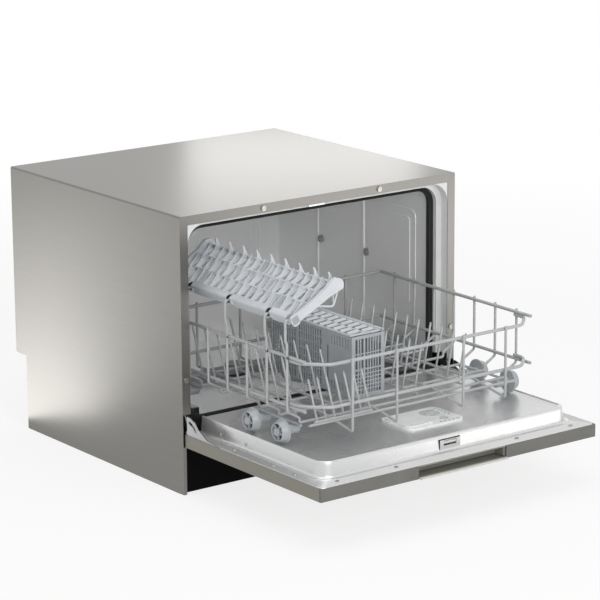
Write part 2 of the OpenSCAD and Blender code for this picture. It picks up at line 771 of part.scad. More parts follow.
module dispenser_button() color("#9fb6c8") translate([cap_x, release_y, pan_z - 3.6])
    cylinder(h = 8, r = release_r);

module rinse_cap() color("#b9c4cc") translate([cap_x, cap_y, 0]) {
    translate([0, 0, pan_z - 6 + seat]) cylinder(h = disp_z - pan_z + 6, r = cap_r);
    translate([0, 0, disp_z]) rotate(25) block([-cap_r + 3, -2, 0], [cap_r - 3, 2, 3.4]);
}

// ---- Basket ----

// Side grille, drawn for +X: two rails, uprights that jog in under the floor
module side_grille(high) {
    for (z = [rail_hi, rail_lo]) rod([bk_x, bk_rear, z], [bk_x, bk_front + 18, z], rail_r);
    for (i = [0:hoops - 1]) {
        y = hoop_y - i * hoop_pitch;
        top = len(search(i, high)) > 0;
        foot = [[jog_x, y, floor_z], [jog_x, y, floor_z + 8], [up_x, y, floor_z + 21]];
        wire(top ? concat(foot, [[up_x, y, rail_hi + 20], [up_x + 3, y, rail_hi + 27], [up_x + 3, y, shelf_z],
            [-shelf_x, y, shelf_z]]) : concat(foot, [[up_x, y, rail_hi + 4]]), wire_r);
        if (top) rod([-shelf_x, y - peg_len / 2, shelf_z], [-shelf_x, y + peg_len / 2, shelf_z], peg_r);
    }
}

module basket_left() color("#c9ccce") mirror([1, 0, 0]) side_grille(tall);

module basket_right() color("#c9ccce") side_grille([]);

module basket_front() color("#c9ccce") {
    for (z = [rail_hi - 2 * rail_r + weld, rail_lo + 2 * rail_r - weld])
        wire([[-bk_x, bk_front + corner + side_lap, z], [-bk_x, bk_front + corner, z],
            [-bk_x + corner, bk_front, z], [bk_x - corner, bk_front, z], [bk_x, bk_front + corner, z],
            [bk_x, bk_front + corner + side_lap, z]], rail_r);
    for (x = front_up) rod([x, bk_front - rail_r - wire_r + weld, rail_hi],
        [x, bk_front - rail_r - wire_r + weld, foot_z], wire_r);
}

module basket_rear() color("#c9ccce") {
    x = bk_x - rail_r + weld;
    for (z = [rail_hi, rail_lo]) rod([-x, bk_rear, z], [x, bk_rear, z], rail_r);
    for (x = front_up) rod([x, bk_rear + rail_r + wire_r - weld, rail_hi + 4],
        [x, bk_rear + rail_r + wire_r - weld, long_z], wire_r);
}

// Floor wires across the basket
module basket_hoops() color("#c9ccce") {
    for (y = concat([first_hoop], [for (i = [0:hoops - 1]) hoop_y - i * hoop_pitch]))
        rod([-jog_x, y, floor_z], [jog_x, y, floor_z], wire_r);
}

// Floor wires along the basket, which rise from the front feet
module basket_runners() color("#c9ccce") {
    bend_y = bk_front + 70;
    for (x = front_up) {
        rod([x, bk_front - rail_r - wire_r + weld, foot_z], [x, bend_y, long_z], wire_r);
        rod([x, bend_y, long_z], [x, bk_rear + rail_r + wire_r, long_z], wire_r);
        translate([x, bend_y, long_z]) sphere(r = wire_r * 1.2);
    }
}

// Row of tines along Y at x, from y0 back to y1, each leaning back by lean
module tine_row(x, y0, y1, n, lean) {
    z = long_z;
    rod([x, y0 - 8, z], [x, y1 + 8, z], wire_r);
    for (y = span(y0, y1, n)) rod([x, y, z], [x, y + tine_h * sin(lean), z + tine_h * cos(lean)], tine_r);
}

module plate_tines() color("#c9ccce") {
    for (x = left_rows) tine_row(x, bk_front + 100, bk_rear - 62, 8, left_lean);
    for (x = right_rows) tine_row(x, bk_front + 70, bk_rear - 40, 11, right_lean);
    z = floor_z + wire_r + small_bar_r - weld;
    rod([small_tines[0] - 6, first_hoop, z], [small_tines[1] + 4, first_hoop, z], small_bar_r);
    for (x = span(small_tines[0], small_tines[1], 7)) rod([x, first_hoop, z],
        [x, first_hoop + small_tine_h * sin(left_lean), z + small_tine_h * cos(left_lean)], tine_r);
}

module wheel_axles() color("#b4b8ba") both() {
    for (y = bogie) {
        disc_x(jog_x - 8, wheel_x - seat, y, wheel_z, sleeve_r);
        disc_x(wheel_x - seat, wheel_x + wheel_w + seat, y, wheel_z, axle_r);
        disc_x(wheel_x + wheel_w + seat, wheel_x + wheel_w + seat + 1.2, y, wheel_z, axle_r + 2);
        rod([jog_x, y, wheel_z], [jog_x, y, floor_z - wire_r], wire_r);
    }
    z = floor_z - 2 * wire_r + weld;
    rod([jog_x, hoop_y - 6 * hoop_pitch - 4, z], [jog_x, hoop_y - 4 * hoop_pitch + 4, z], wire_r);
    rod([jog_x, hoop_y - hoop_pitch - 4, z], [jog_x, bk_rear - 2, z], wire_r);
}

// Wheel at y, drawn for +X: tread, inner flange, hub and spokes
module wheel(y) color("#c2c6c8") translate([wheel_x, y, wheel_z]) rotate([0, 90, 0]) difference() {
    union() {
        cylinder(h = flange_t, r = wheel_r);
        cylinder(h = wheel_w - 1.5, r = wheel_r - tread_d);
        cylinder(h = wheel_w, r = wheel_hub);
    }
    translate([0, 0, -e]) cylinder(h = wheel_w + 2 * e, r = axle_r + fit);
    translate([0, 0, wheel_w - hollow_d]) difference() {
        cylinder(h = hollow_d + e, r = wheel_r - tread_d - 2.5);
        cylinder(h = hollow_d + e, r = wheel_hub);
    }
    for (a = [0:60:300]) rotate(a) translate([wheel_r - 8, 0, -e]) cylinder(h = 6, r = 3.2);
}

module wheel_left(i) mirror([1, 0, 0]) wheel(bogie[i]);

// ---- Cup shelf ----

// Sawtooth fin outline, with u across the shelf from its hinge and w off its plane
module fin() {
    polygon([[4, -3], [8, 3], [34, 12], [36, 3], [40, 4], [63, 14], [66, 3], [70, 5], [shelf_w - 3, tooth_h],
        [shelf_w, tooth_h - 1], [shelf_w, -3]]);
}

module cup_shelf() color("#e3e6e8") difference() {
    translate([shelf_x, shelf_front, shelf_z]) rotate([0, -shelf_tilt, 0]) {
        along_y(0, shelf_len) rrect(-spine[0] + 1, spine[0], -spine[1], spine[1], 3);
        for (u = concat(rail_u, [shelf_w - bar[0]])) along_y(0, shelf_len)
            translate([u, -bar[1]]) square([bar[0], 2 * bar[1]]);
        for (y = [first_fin:fin_pitch:shelf_len - end_bar]) along_y(y, y + fin_t) fin();
        for (y = [first_fin + fin_pitch / 2:fin_pitch:shelf_len - end_bar]) along_y(y, y + fin_t)
            polygon([[4, -bar[1]], [8, bar[1]], [34, 8], [shelf_w, bar[1]], [shelf_w, -bar[1]]]);
        for (y = [0, shelf_len - end_bar]) {
            along_y(y, y + end_bar) difference() {
                rrect(-6, shelf_w + 4, -6, 7, 5);
                rrect(16, shelf_w - 26, -1, 2, 1.4);
            }
            wire([[shelf_w - 2, y + end_bar / 2, -4], [shelf_w - 26, y + end_bar / 2, -24],
                [44, y + end_bar / 2, -4]], tine_r);
        }
    }
    disc_y(shelf_front - e, shelf_front + shelf_len + e, shelf_x, shelf_z, peg_r + fit);
    for (i = tall) translate([shelf_x, hoop_y - i * hoop_pitch, shelf_z]) rotate([0, -shelf_tilt, 0])
        block([-8, -slot_len / 2, -12], [peg_r + 0.4, slot_len / 2, 12]);
}

// ---- Cutlery basket ----

// Panel of a by b with n by m rectangular holes, ribs of width rib and a solid frame
module grid(a, b, n, m, frame, rib) {
    w = (a - 2 * frame - (n - 1) * rib) / n;
    h = (b - 2 * frame - (m - 1) * rib) / m;
    difference() {
        square([a, b]);
        for (i = [0:n - 1], j = [0:m - 1]) translate([frame + i * (w + rib), frame + j * (h + rib)])
            square([w, h]);
    }
}

module cutlery_basket() color("#a4a8ab") translate([cut_x, cut_front, cut_z]) {
    for (x = [0, cut_w - cut_t]) along_x(x, x + cut_t) {
        translate([panel_l, 0]) grid(cut_len - panel_l, cut_h, 12, 5, 4, rib);
        difference() {
            square([panel_l, cut_h]);
            translate([panel_l - 10, 12]) square([5, cut_h * 0.6]);
            for (y = [8:7:panel_l - 20], z = [8, cut_h - 18]) translate([y, z]) square([3, 10]);
        }
    }
    for (y = [0, cut_len - cut_t]) along_y(y, y + cut_t) grid(cut_w, cut_h, 5, 7, 5, rib);
    linear_extrude(cut_t) grid(cut_w, cut_len, 3, 9, 4, 4);
    for (y = [cut_len * 0.33, cut_len * 0.66]) block([cut_t, y, cut_t],
        [cut_w - cut_t, y + divider_t, cut_h - 12]);
    for (y = [0, cut_len - lug]) {
        block([cut_w - 5, y, cut_h - 8], [cut_w, y + lug, cut_h + knuckle_r]);
        disc_y(y, y + lug, cut_w - 2.5, cut_h + knuckle_r + seat, knuckle_r);
    }
    disc_y(lug - e, lug + 5, cut_w - 2.5, cut_h + knuckle_r + seat, knuckle_pin);
    disc_y(cut_len - lug - 5, cut_len - lug + e, cut_w - 2.5, cut_h + knuckle_r + seat, knuckle_pin);
}

module cutlery_lid() color("#abafb2") translate([cut_x, cut_front, cut_z + cut_h + seat]) difference() {
    union() {
        linear_extrude(lid_t) translate([0, lug + seat]) grid(cut_w - 3.5,
            cut_len - 2 * lug - 2 * seat, 2, 14, 4, lid_rib);
        disc_y(lug + seat, cut_len - lug - seat, cut_w - 2.5, knuckle_r, knuckle_r);
    }
    disc_y(lug, lug + 6, cut_w - 2.5, knuckle_r, knuckle_pin + fit);
    disc_y(cut_len - lug - 6, cut_len - lug, cut_w - 2.5, knuckle_r, knuckle_pin + fit);
}

outer_cover();
rear_panel();
base_tray();
kick_plate();
feet();
cover_screws();
tub_shell();
front_frame();
door_gasket();
wall_plugs();
basket_rails();
sump();
fine_filter();
coarse_filter();
wash_pump();
drain_pump();
flow_heater();
inlet_valve();
drain_spigot();
cable_gland();
hinge_brackets();
balance_springs();
latch_striker();
spray_hub();
spray_arm();
door_panel();
door_liner();
door_handle();
hinge_arms();
door_screws();
control_fascia();
control_board();
latch_bolt();
button(0);  // button_power
button(1);  // button_program
button(2);  // button_delay
button(3);  // button_start
dispenser_body();
dispenser_lid();
dispenser_button();
rinse_cap();
basket_left();
basket_right();
basket_front();
basket_rear();
basket_hoops();
basket_runners();
plate_tines();
wheel_axles();
wheel_left(0);  // wheel_left_1
wheel_left(1);  // wheel_left_2
wheel_left(2);  // wheel_left_3
wheel_left(3);  // wheel_left_4
wheel(bogie[0]);  // wheel_right_1
wheel(bogie[1]);  // wheel_right_2
wheel(bogie[2]);  // wheel_right_3
wheel(bogie[3]);  // wheel_right_4
cup_shelf();
cutlery_basket();
cutlery_lid();
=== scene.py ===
# %% [markdown]
# # A countertop dishwasher with its basket rolled out
#
# The real machine is a folded steel cover round a polished tub, with a door that tips down and a wire
# basket that rolls out over it on eight small wheels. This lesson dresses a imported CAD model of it. The
# sheet metal that is already right keeps its CAD shape and only gets a finish. What a plain solid can't
# show, such as bent wire, pressed sheet and moulded plastic, is made here as new meshes and curves.

# %% Load the fixed frame
import json
from math import cos, pi, radians, sin, tan
import bmesh
import bpy
from mathutils import Matrix, Vector


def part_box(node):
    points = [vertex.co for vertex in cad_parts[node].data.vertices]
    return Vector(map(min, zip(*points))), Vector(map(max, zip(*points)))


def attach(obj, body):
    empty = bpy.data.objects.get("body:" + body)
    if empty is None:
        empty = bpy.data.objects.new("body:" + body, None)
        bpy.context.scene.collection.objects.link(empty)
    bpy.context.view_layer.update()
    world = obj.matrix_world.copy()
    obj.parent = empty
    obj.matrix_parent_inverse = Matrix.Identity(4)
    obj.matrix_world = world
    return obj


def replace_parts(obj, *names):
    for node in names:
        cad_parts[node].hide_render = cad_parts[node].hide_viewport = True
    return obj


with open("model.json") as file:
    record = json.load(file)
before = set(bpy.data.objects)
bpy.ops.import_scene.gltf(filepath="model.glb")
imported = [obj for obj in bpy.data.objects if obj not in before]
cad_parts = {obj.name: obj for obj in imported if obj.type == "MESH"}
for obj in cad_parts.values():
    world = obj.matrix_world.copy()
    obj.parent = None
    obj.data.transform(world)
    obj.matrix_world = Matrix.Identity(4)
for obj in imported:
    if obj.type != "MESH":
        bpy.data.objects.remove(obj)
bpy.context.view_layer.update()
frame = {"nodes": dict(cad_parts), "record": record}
MM = 0.001

# %% [markdown]
# ## Helpers
#
# A mesh could be made with modelling operators, as in the viewport, or straight from lists of points and
# faces. Lists are used here, because each size then stays a number that can be read and changed. The
# numbers are millimetres, as on a drawing, and one function turns them into Blender's metres.

# %% A mesh from points in millimetres
def sheet_mesh(name, points, faces, body, finish, slot, sharp=35):
    """A mesh object that moves with a body. Edges that turn by more than sharp degrees stay crisp."""
    mesh = bpy.data.meshes.new(name)
    mesh.from_pydata([[c * MM for c in p] for p in points], [], faces)
    shape = bmesh.new()
    shape.from_mesh(mesh)
    bmesh.ops.recalc_face_normals(shape, faces=shape.faces)
    shape.to_mesh(mesh)
    shape.free()
    mesh.shade_smooth()
    mesh.set_sharp_from_angle(angle=radians(sharp))
    mesh.materials.append(finish)
    made = bpy.data.objects.new(name, mesh)
    bpy.context.scene.collection.objects.link(made)
    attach(made, body)
    return made


def corner(node, which):
    """Lowest (0) or highest (1) corner of a CAD node, in millimetres."""
    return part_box(node)[which] / MM


# %% Rows of points joined by faces
def skin(rows, closed_rows=False, closed_ring=True):
    """Points and faces of a skin over rows of points, each row as long as the next."""
    size = len(rows[0])
    points = [p for row in rows for p in row]
    faces = []
    for i in range(len(rows) if closed_rows else len(rows) - 1):
        here, there = i * size, (i + 1) % len(rows) * size
        for j in range(size if closed_ring else size - 1):
            k = (j + 1) % size
            faces.append((here + j, there + j, there + k, here + k))
    return points, faces


def merge(*parts):
    """Several lists of points and faces as one."""
    points, faces = [], []
    for more_points, more_faces in parts:
        start = len(points)
        points += [tuple(p) for p in more_points]
        faces += [tuple(start + k for k in face) for face in more_faces]
    return points, faces


print("two rows of three points make", len(skin([[(0, 0, 0)] * 3] * 2)[1]), "faces")

# %% A turned shape
def turned(profile, centre, axis, steps):
    """Skin of a profile of (along, radius) pairs turned round an axis through centre."""
    axis = Vector(axis).normalized()
    side = axis.orthogonal().normalized()
    other = axis.cross(side)
    rows = []
    for along, radius in profile:
        turn = [2 * pi * k / steps for k in range(steps)]
        rows.append([Vector(centre) + axis * along + (side * cos(t) + other * sin(t)) * radius for t in turn])
    points, faces = skin(rows)
    first, last = tuple(range(steps)), tuple(range(len(points) - steps, len(points)))
    return points, faces + [first, last[::-1]]


print("a disc turned in 8 steps has", len(turned([(0, 1), (1, 1)], (0, 0, 0), (0, 0, 1), 8)[1]), "faces")

# %% A box from its two corners, and rounded edges
FOLD_ANGLE = 30         # degrees: flatter edges than this are left as they are


def box_mesh(low, high):
    """The eight points and six faces between a lowest and a highest corner."""
    points = [(x, y, z) for x in (low[0], high[0]) for y in (low[1], high[1]) for z in (low[2], high[2])]
    faces = [(0, 1, 3, 2), (4, 6, 7, 5), (0, 4, 5, 1), (2, 3, 7, 6), (0, 2, 6, 4), (1, 5, 7, 3)]
    return points, faces


def bevelled(made, width, segments):
    """Rounds a piece's sharp edges, because no moulded or folded edge is a knife edge."""
    bevel = made.modifiers.new("edges", "BEVEL")
    bevel.width = width * MM
    bevel.segments = segments
    bevel.limit_method = "ANGLE"
    bevel.angle_limit = radians(FOLD_ANGLE)
    bevel.harden_normals = True


print("a box has", len(box_mesh((0, 0, 0), (1, 1, 1))[1]), "faces before its edges are rounded")

# %% [markdown]
# ## Camera
#
# The view was found by fitting the cabinet's corners, a box of 551 by 500 by 450 mm, to the picture. It
# is a long lens from some four and a half metres away, so the cabinet's edges hardly converge. The camera
# stands still at that place, and a small roll of 0.4 degrees sets its uprights straight.

# %% Camera
SENSOR = 36.0                           # mm
FOCAL_PIXELS, FRAME_PIXELS = 2822.5, 600
EYE = Vector((-2.660, -3.758, 1.393))
AZIMUTH, ELEVATION, ROLL = radians(-36.70), radians(14.24), radians(-0.39)

lens = bpy.data.cameras.new("view")
lens.sensor_fit = "HORIZONTAL"
lens.sensor_width = SENSOR
lens.lens = FOCAL_PIXELS / FRAME_PIXELS * SENSOR
camera = bpy.data.objects.new("view", lens)
bpy.context.scene.collection.objects.link(camera)
towards_eye = Vector((sin(AZIMUTH) * cos(ELEVATION), -cos(AZIMUTH) * cos(ELEVATION), sin(ELEVATION)))
straight = towards_eye.to_track_quat("Z", "Y")
camera.matrix_world = Matrix.Translation(EYE) @ straight.to_matrix().to_4x4() @ Matrix.Rotation(ROLL, 4, "Z")
bpy.context.scene.camera = camera
bpy.context.scene.view_settings.view_transform = "Standard"
print("lens", round(lens.lens, 1), "mm")

# %% [markdown]
# ## Colours and shader nodes
#
# Colours are written as sRGB hex, as a paint maker would give them, and turned to the linear values that
# the renderer works with. One small function adds a shader node with its settings and its links, so each
# material below reads as a short recipe.

# %% Colour and node helpers
def linear(code):
    """Linear RGBA of an sRGB hex colour, by the curve that the sRGB standard gives."""
    parts = [int(code[i:i + 2], 16) / 255 for i in (1, 3, 5)]
    return [c / 12.92 if c <= 0.04045 else ((c + 0.055) / 1.055) ** 2.4 for c in parts] + [1.0]


def add(tree, kind, inputs={}, links={}, **settings):
    """Adds a shader node, sets its inputs and settings, and links sockets into it."""
    made = tree.nodes.new("ShaderNode" + kind)
    for name, value in settings.items():
        setattr(made, name, value)
    for name, value in inputs.items():
        made.inputs[name].default_value = value
    for name, socket in links.items():
        tree.links.new(socket, made.inputs[name])
    return made


def finish(name, **inputs):
    """A new material with one Principled shader. Returns the material, its tree and the shader."""
    made = bpy.data.materials.new(name)
    made.use_nodes = True
    tree = made.node_tree
    shader = tree.nodes["Principled BSDF"]
    for key, value in inputs.items():
        shader.inputs[key.replace("_", " ")].default_value = value
    return made, tree, shader


print("mid grey #808080 is", round(linear("#808080")[0], 3), "in linear light")

# %% Noise, and what it drives
NOISE_LOW, NOISE_HIGH = 0.3, 0.7    # most of a noise's values lie between these
NOISE_ROUGHNESS = 0.55              # how strong its finer layers are


def grain_noise(tree, size, detail):
    """Noise whose grains are size=(x, y, z) millimetres."""
    place = add(tree, "TexCoord")
    stretch = add(tree, "Mapping", {"Scale": [1 / (s * MM) for s in size]},
                  {"Vector": place.outputs["Object"]})
    return add(tree, "TexNoise", {"Scale": 1.0, "Detail": detail, "Roughness": NOISE_ROUGHNESS},
               {"Vector": stretch.outputs["Vector"]})


def spread(tree, source, low, high):
    """Maps a noise's middle range to low..high."""
    return add(tree, "MapRange",
               {"From Min": NOISE_LOW, "From Max": NOISE_HIGH, "To Min": low, "To Max": high},
               {"Value": source.outputs[0]}).outputs["Result"]


def tint(tree, source, first, second):
    """Colour between two hex colours, by a noise."""
    ramp = add(tree, "ValToRGB", {}, {"Fac": source.outputs[0]})
    start, end = ramp.color_ramp.elements
    start.position, end.position = NOISE_LOW, NOISE_HIGH
    start.color, end.color = linear(first), linear(second)
    return ramp.outputs["Color"]


def bump(tree, shader, source, height, strength):
    """Raises the surface by a noise, height in millimetres."""
    made = add(tree, "Bump", {"Strength": strength, "Distance": height * MM}, {"Height": source.outputs[0]})
    tree.links.new(made.outputs["Normal"], shader.inputs["Normal"])


print("noise from", NOISE_LOW, "to", NOISE_HIGH, "runs through a finish's whole range")

# %% [markdown]
# ## Brushed stainless steel
#
# The cover and the door are ferritic stainless sheet, rolled and then brushed in one direction. Brushing
# leaves fine parallel scratches, so a highlight is pulled out across them. The scratches could be a bump
# alone, but at this size the eye mostly sees their effect on the gloss: the noise is stretched along the
# brushing and drives roughness and a slight change of colour. Real scratches are some 0.05 mm apart, too
# fine for the picture, and are drawn 0.9 mm apart.

# %% Brushed steel
STEEL_SCRATCH, STEEL_RUN = 0.9, 160.0       # a scratch's width and length as drawn, mm
SCRATCH_GLOSS = 0.02                        # how much scratches change the roughness
SCRATCH_DEPTH = 0.004                       # mm


def brushed_steel(name, dark, light, roughness, along, anisotropy, turn=0.0):
    """Stainless sheet brushed along x or y, with its highlights pulled out across the scratches."""
    size = [STEEL_SCRATCH] * 3
    size["xyz".index(along)] = STEEL_RUN
    made, tree, shader = finish(name, Metallic=1.0, Anisotropic=anisotropy, Anisotropic_Rotation=turn)
    scratches = grain_noise(tree, size, 2.0)
    tree.links.new(tint(tree, scratches, dark, light), shader.inputs["Base Color"])
    tree.links.new(spread(tree, scratches, roughness - SCRATCH_GLOSS, roughness + SCRATCH_GLOSS),
                   shader.inputs["Roughness"])
    bump(tree, shader, scratches, SCRATCH_DEPTH, 0.15)
    # the sheet is folded round the machine's depth axis, and the sheen follows its folds
    round_the_depth = add(tree, "Tangent", direction_type="RADIAL", axis="Y")
    tree.links.new(round_the_depth.outputs["Tangent"], shader.inputs["Tangent"])
    return made


print("scratches", STEEL_SCRATCH, "mm wide and", round(STEEL_RUN), "mm long")

# %% [markdown]
# ## Rolled and pressed steel
#
# The tub and the door's liner are bright cold-rolled stainless sheet, pressed to shape. Pressing leaves
# slow waves, a hand's breadth long and a few thousandths of a millimetre high, which bend every mirror
# image a little. They could be modelled, but a bump does it at no cost. A noise with fine layers would look
# crumpled, so this one has none.

# %% Rolled steel
def rolled_steel(name, dark, light, roughness, wave=150.0, height=0.004, metallic=1.0):
    """Bright cold-rolled sheet: a satin with waves of that length and height in mm."""
    made, tree, shader = finish(name, Metallic=metallic)
    waves = grain_noise(tree, [wave] * 3, 0.0)
    tree.links.new(tint(tree, waves, dark, light), shader.inputs["Base Color"])
    film = grain_noise(tree, [wave / 2] * 3, 1.0)
    tree.links.new(spread(tree, film, roughness - 0.015, roughness + 0.02), shader.inputs["Roughness"])
    bump(tree, shader, waves, height, 0.3)
    return made


print("stainless keeps Blender's own IOR for metal")

# %% [markdown]
# ## Plastics, rubber, paint and zinc
#
# Moulded plastic shows a fine spark-eroded texture and a faint change of gloss where the melt flowed.
# One recipe serves them all, and paint, rubber and dipped wire too, with each one's own colour, gloss and
# grain. A real mould's texture is some 0.1 mm wide, too fine to show, and is drawn 0.5 to 0.9 mm wide.
# Polypropylene lets a little light in, which softens its shadows, so it gets some subsurface scattering.
# Zinc is another matter: it freezes in flat crystals, each of its own grey, so it gets a cell pattern.

# %% Moulded, painted and galvanised surfaces
FLOW = 35.0                         # mm over which a moulding's colour and gloss drift
COAT_ROUGHNESS = 0.12               # of the skin that a polished mould leaves, or of lacquer
GLOW_DEPTH = 0.003                  # metres that light gets into pale plastic
GLOW_REACH = [1.0, 0.9, 0.8]        # share of that depth for red, green and blue
ZINC_CRYSTAL = 8.0                  # mm


def moulded(name, dark, light, roughness, grain=0.8, height=0.01, coat=0.0, glow=0.0, ior=1.49,
            shine=0.5):
    """A moulded, dipped or painted surface, with the width and height of its grain in mm."""
    made, tree, shader = finish(name, IOR=ior, Specular_IOR_Level=shine, Coat_Weight=coat,
                                Coat_Roughness=COAT_ROUGHNESS, Subsurface_Weight=glow,
                                Subsurface_Scale=GLOW_DEPTH, Subsurface_Radius=GLOW_REACH)
    flow = grain_noise(tree, [FLOW] * 3, 2.0)
    tree.links.new(tint(tree, flow, dark, light), shader.inputs["Base Color"])
    tree.links.new(spread(tree, flow, roughness - 0.04, roughness + 0.05), shader.inputs["Roughness"])
    bump(tree, shader, grain_noise(tree, [grain] * 3, 2.0), height, 0.5)
    return made


def galvanised(name, dark, light, roughness):
    """Hot-dip zinc, frozen in crystals between a dark and a light grey."""
    made, tree, shader = finish(name, Metallic=1.0)
    place = add(tree, "TexCoord")
    crystals = add(tree, "TexVoronoi", {"Scale": 1 / (ZINC_CRYSTAL * MM)},
                   {"Vector": place.outputs["Object"]})
    shade = add(tree, "ValToRGB", {}, {"Fac": crystals.outputs["Color"]})
    shade.color_ramp.elements[0].color, shade.color_ramp.elements[1].color = linear(dark), linear(light)
    tree.links.new(shade.outputs["Color"], shader.inputs["Base Color"])
    tree.links.new(spread(tree, crystals, roughness - 0.05, roughness + 0.05), shader.inputs["Roughness"])
    return made


print("flow over", FLOW, "mm, zinc crystals of", ZINC_CRYSTAL, "mm")

# %% [markdown]
# ## The machine's finishes
#
# Each finish is named for its real material and for how its surface was made. Most stand here under the
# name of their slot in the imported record. The door's liner, recess and lip have finishes of their own, under
# names that the record doesn't have. All could be picked from a library of materials, but a library's steel
# is never this steel. So gloss and IOR start from typical values, and were then matched to the picture.

# %% Sheet metal, bare and painted
FINISHES = {
    # ferritic stainless brushed from front to back: a wide soft sheen across the top
    "brushed_steel_cover": brushed_steel("brushed_stainless_cover", "#7e7c78", "#84827e", 0.34, "y", 0.3),
    # the same sheet brushed from side to side: a little warmer, with a narrower sheen
    "door_steel": brushed_steel("brushed_stainless_door", "#858379", "#8d8b84", 0.34, "x", 0.4, 0.25),
    # bright rolled stainless: nearly white, because its walls light each other and wash out the mirror
    "tub_steel": rolled_steel("polished_stainless_tub", "#f2f3f3", "#f5f5f4", 0.32, metallic=0.35),
    # the same sheet pressed into a pan: satin, with blurred images of what stands on it
    "liner_steel": rolled_steel("pressed_stainless_liner", "#cfd0d0", "#d6d6d5", 0.27, metallic=0.75),
    # thick stainless stamped to shape: a harder grey with short ripples
    "hinge_steel": rolled_steel("stamped_stainless", "#b3b4b5", "#bdbebf", 0.24, 40.0, 0.01),
    # cold-headed steel screws, zinc plated: small warm glints
    "zinc_screws": rolled_steel("zinc_plated_steel", "#a9a7a0", "#b8b6b0", 0.28, 6.0, 0.005),
    # hot-dip galvanised sheet: a patchwork of grey crystals
    "galvanised_sheet": galvanised("galvanised_sheet", "#8b8e90", "#a9acad", 0.42),
    # steel sheet, powder coated and baked: dull, with a fine orange peel
    "dark_sheet": moulded("powder_coated_steel", "#4e5052", "#565859", 0.55, 0.5, 0.02),
    # steel sheet, spray painted with a thin lacquer: an even grey with a slight gloss
    "handle_grey": moulded("spray_painted_steel", "#64635f", "#6c6b67", 0.42, 0.6, 0.012, 0.15),
}
print(len(FINISHES), "metal finishes")

# %% Plastics and rubber of the cabinet and the door
FINISHES |= {
    # ABS from a rough mould: it takes nearly no light and reads as plain black
    "black_panel": moulded("moulded_black_abs", "#030303", "#060606", 0.75, 0.9, 0.02, shine=0.1),
    # EPDM rubber, extruded: soft black with a wide, weak sheen
    "black_rubber": moulded("extruded_epdm_rubber", "#161617", "#1d1d1e", 0.62, 0.7, 0.02),
    # ABS from a satin mould: pale and even
    "pale_plastic": moulded("moulded_pale_abs", "#d7d8d7", "#dedfde", 0.36, 0.8, 0.01),
    # polypropylene stiffened with glass fibre: dull dark grey with a dry grain
    "dark_plastic": moulded("moulded_glass_filled_polypropylene", "#36383a", "#3e4042", 0.5, 0.6, 0.02),
    # plain polypropylene: a waxy mid grey
    "filter_mesh": moulded("moulded_filter_polypropylene", "#8a8d8f", "#95989a", 0.42),
    "spray_plastic": moulded("moulded_spray_arm_polypropylene", "#83878a", "#8f9396", 0.42),
    # polyamide: dark and dull, as pump housings are
    "pump_plastic": moulded("moulded_polyamide", "#44484b", "#4e5255", 0.5, 0.6, 0.02),
    # dyed polypropylene: a muted blue that marks the part to be turned by hand
    "blue_plastic": moulded("moulded_blue_polypropylene", "#2b5a80", "#35658c", 0.45),
    # polypropylene from a fine mould: clean white that lets a little light in
    "white_plastic": moulded("moulded_white_polypropylene", "#e9ebeb", "#f1f2f2", 0.3, 0.8, 0.006, 0.1, 0.08),
    # ABS from a satin mould, in two greys: the hand recess and the lip under it
    "pocket_grey": moulded("moulded_mid_grey_abs", "#84837c", "#8c8b84", 0.4, 0.7, 0.008),
    "lip_grey": moulded("moulded_pale_grey_abs", "#c4c3ba", "#cbcac2", 0.35, 0.7, 0.008, 0.1),
    # ABS from a polished mould: deep gloss black
    "fascia_black": moulded("moulded_gloss_black_abs", "#101011", "#161617", 0.18, 0.8, 0.004, 0.4),
    # glass fibre and epoxy under green solder lacquer: a slight gloss over a fine grain
    "circuit_green": moulded("lacquered_glass_epoxy_board", "#1f5a35", "#2a6b42", 0.4, 0.5, 0.01, 0.2),
    # ABS, spray painted: a satin that looks like metal from afar
    "button_silver": moulded("spray_painted_silver_abs", "#b9bbbc", "#c5c7c8", 0.3, 0.6, 0.006, 0.2),
    # polypropylene from a fine mould: a cool pale grey
    "rinse_blue": moulded("moulded_cap_polypropylene", "#c2c6c8", "#cccfd1", 0.28, 0.8, 0.006, 0.1, 0.1),
}
print(len(FINISHES), "finishes so far")

# %% Finishes of the basket
FINISHES |= {
    # steel wire dipped in nylon: the melt sets with a soft orange peel, 1.6 mm wide as on the real wire
    "wire_coating": moulded("nylon_dipped_wire", "#a6a8a9", "#b0b2b3", 0.33, 1.6, 0.03, 0.25, 0.0, 1.53),
    # acetal: hard and smooth, with a small crisp highlight
    "wheel_plastic": moulded("moulded_pale_acetal", "#a3a8ab", "#adb2b5", 0.32, 0.6, 0.006, 0.1, 0.08),
    # undyed polypropylene: milky, so that thin fins look lit from inside
    "shelf_plastic": moulded("moulded_natural_polypropylene", "#c4c8cc", "#ced2d6", 0.34, 0.9, 0.008, 0.1,
                             0.15),
    # grey polypropylene, the lid paler than the basket: soft shadows inside the lattice
    "cutlery_grey": moulded("moulded_grey_polypropylene", "#9ea2a5", "#a8acaf", 0.4, 0.9, 0.01, 0.0, 0.06),
    "lid_grey": moulded("moulded_pale_grey_polypropylene", "#bcc0c3", "#c8cccf", 0.38, 0.9, 0.01, 0.0, 0.06),
}
print(len(FINISHES), "finishes")

# %% Dress the CAD nodes
for entry in frame["record"]["subparts"]:
    node = frame["nodes"][entry["node"]]
    node.data.materials.clear()
    node.data.materials.append(FINISHES[entry["material_slot"]])
# the latch bolt is moulded in a paler plastic than the other nodes of its slot
frame["nodes"]["latch_bolt"].data.materials[0] = FINISHES["pale_plastic"]

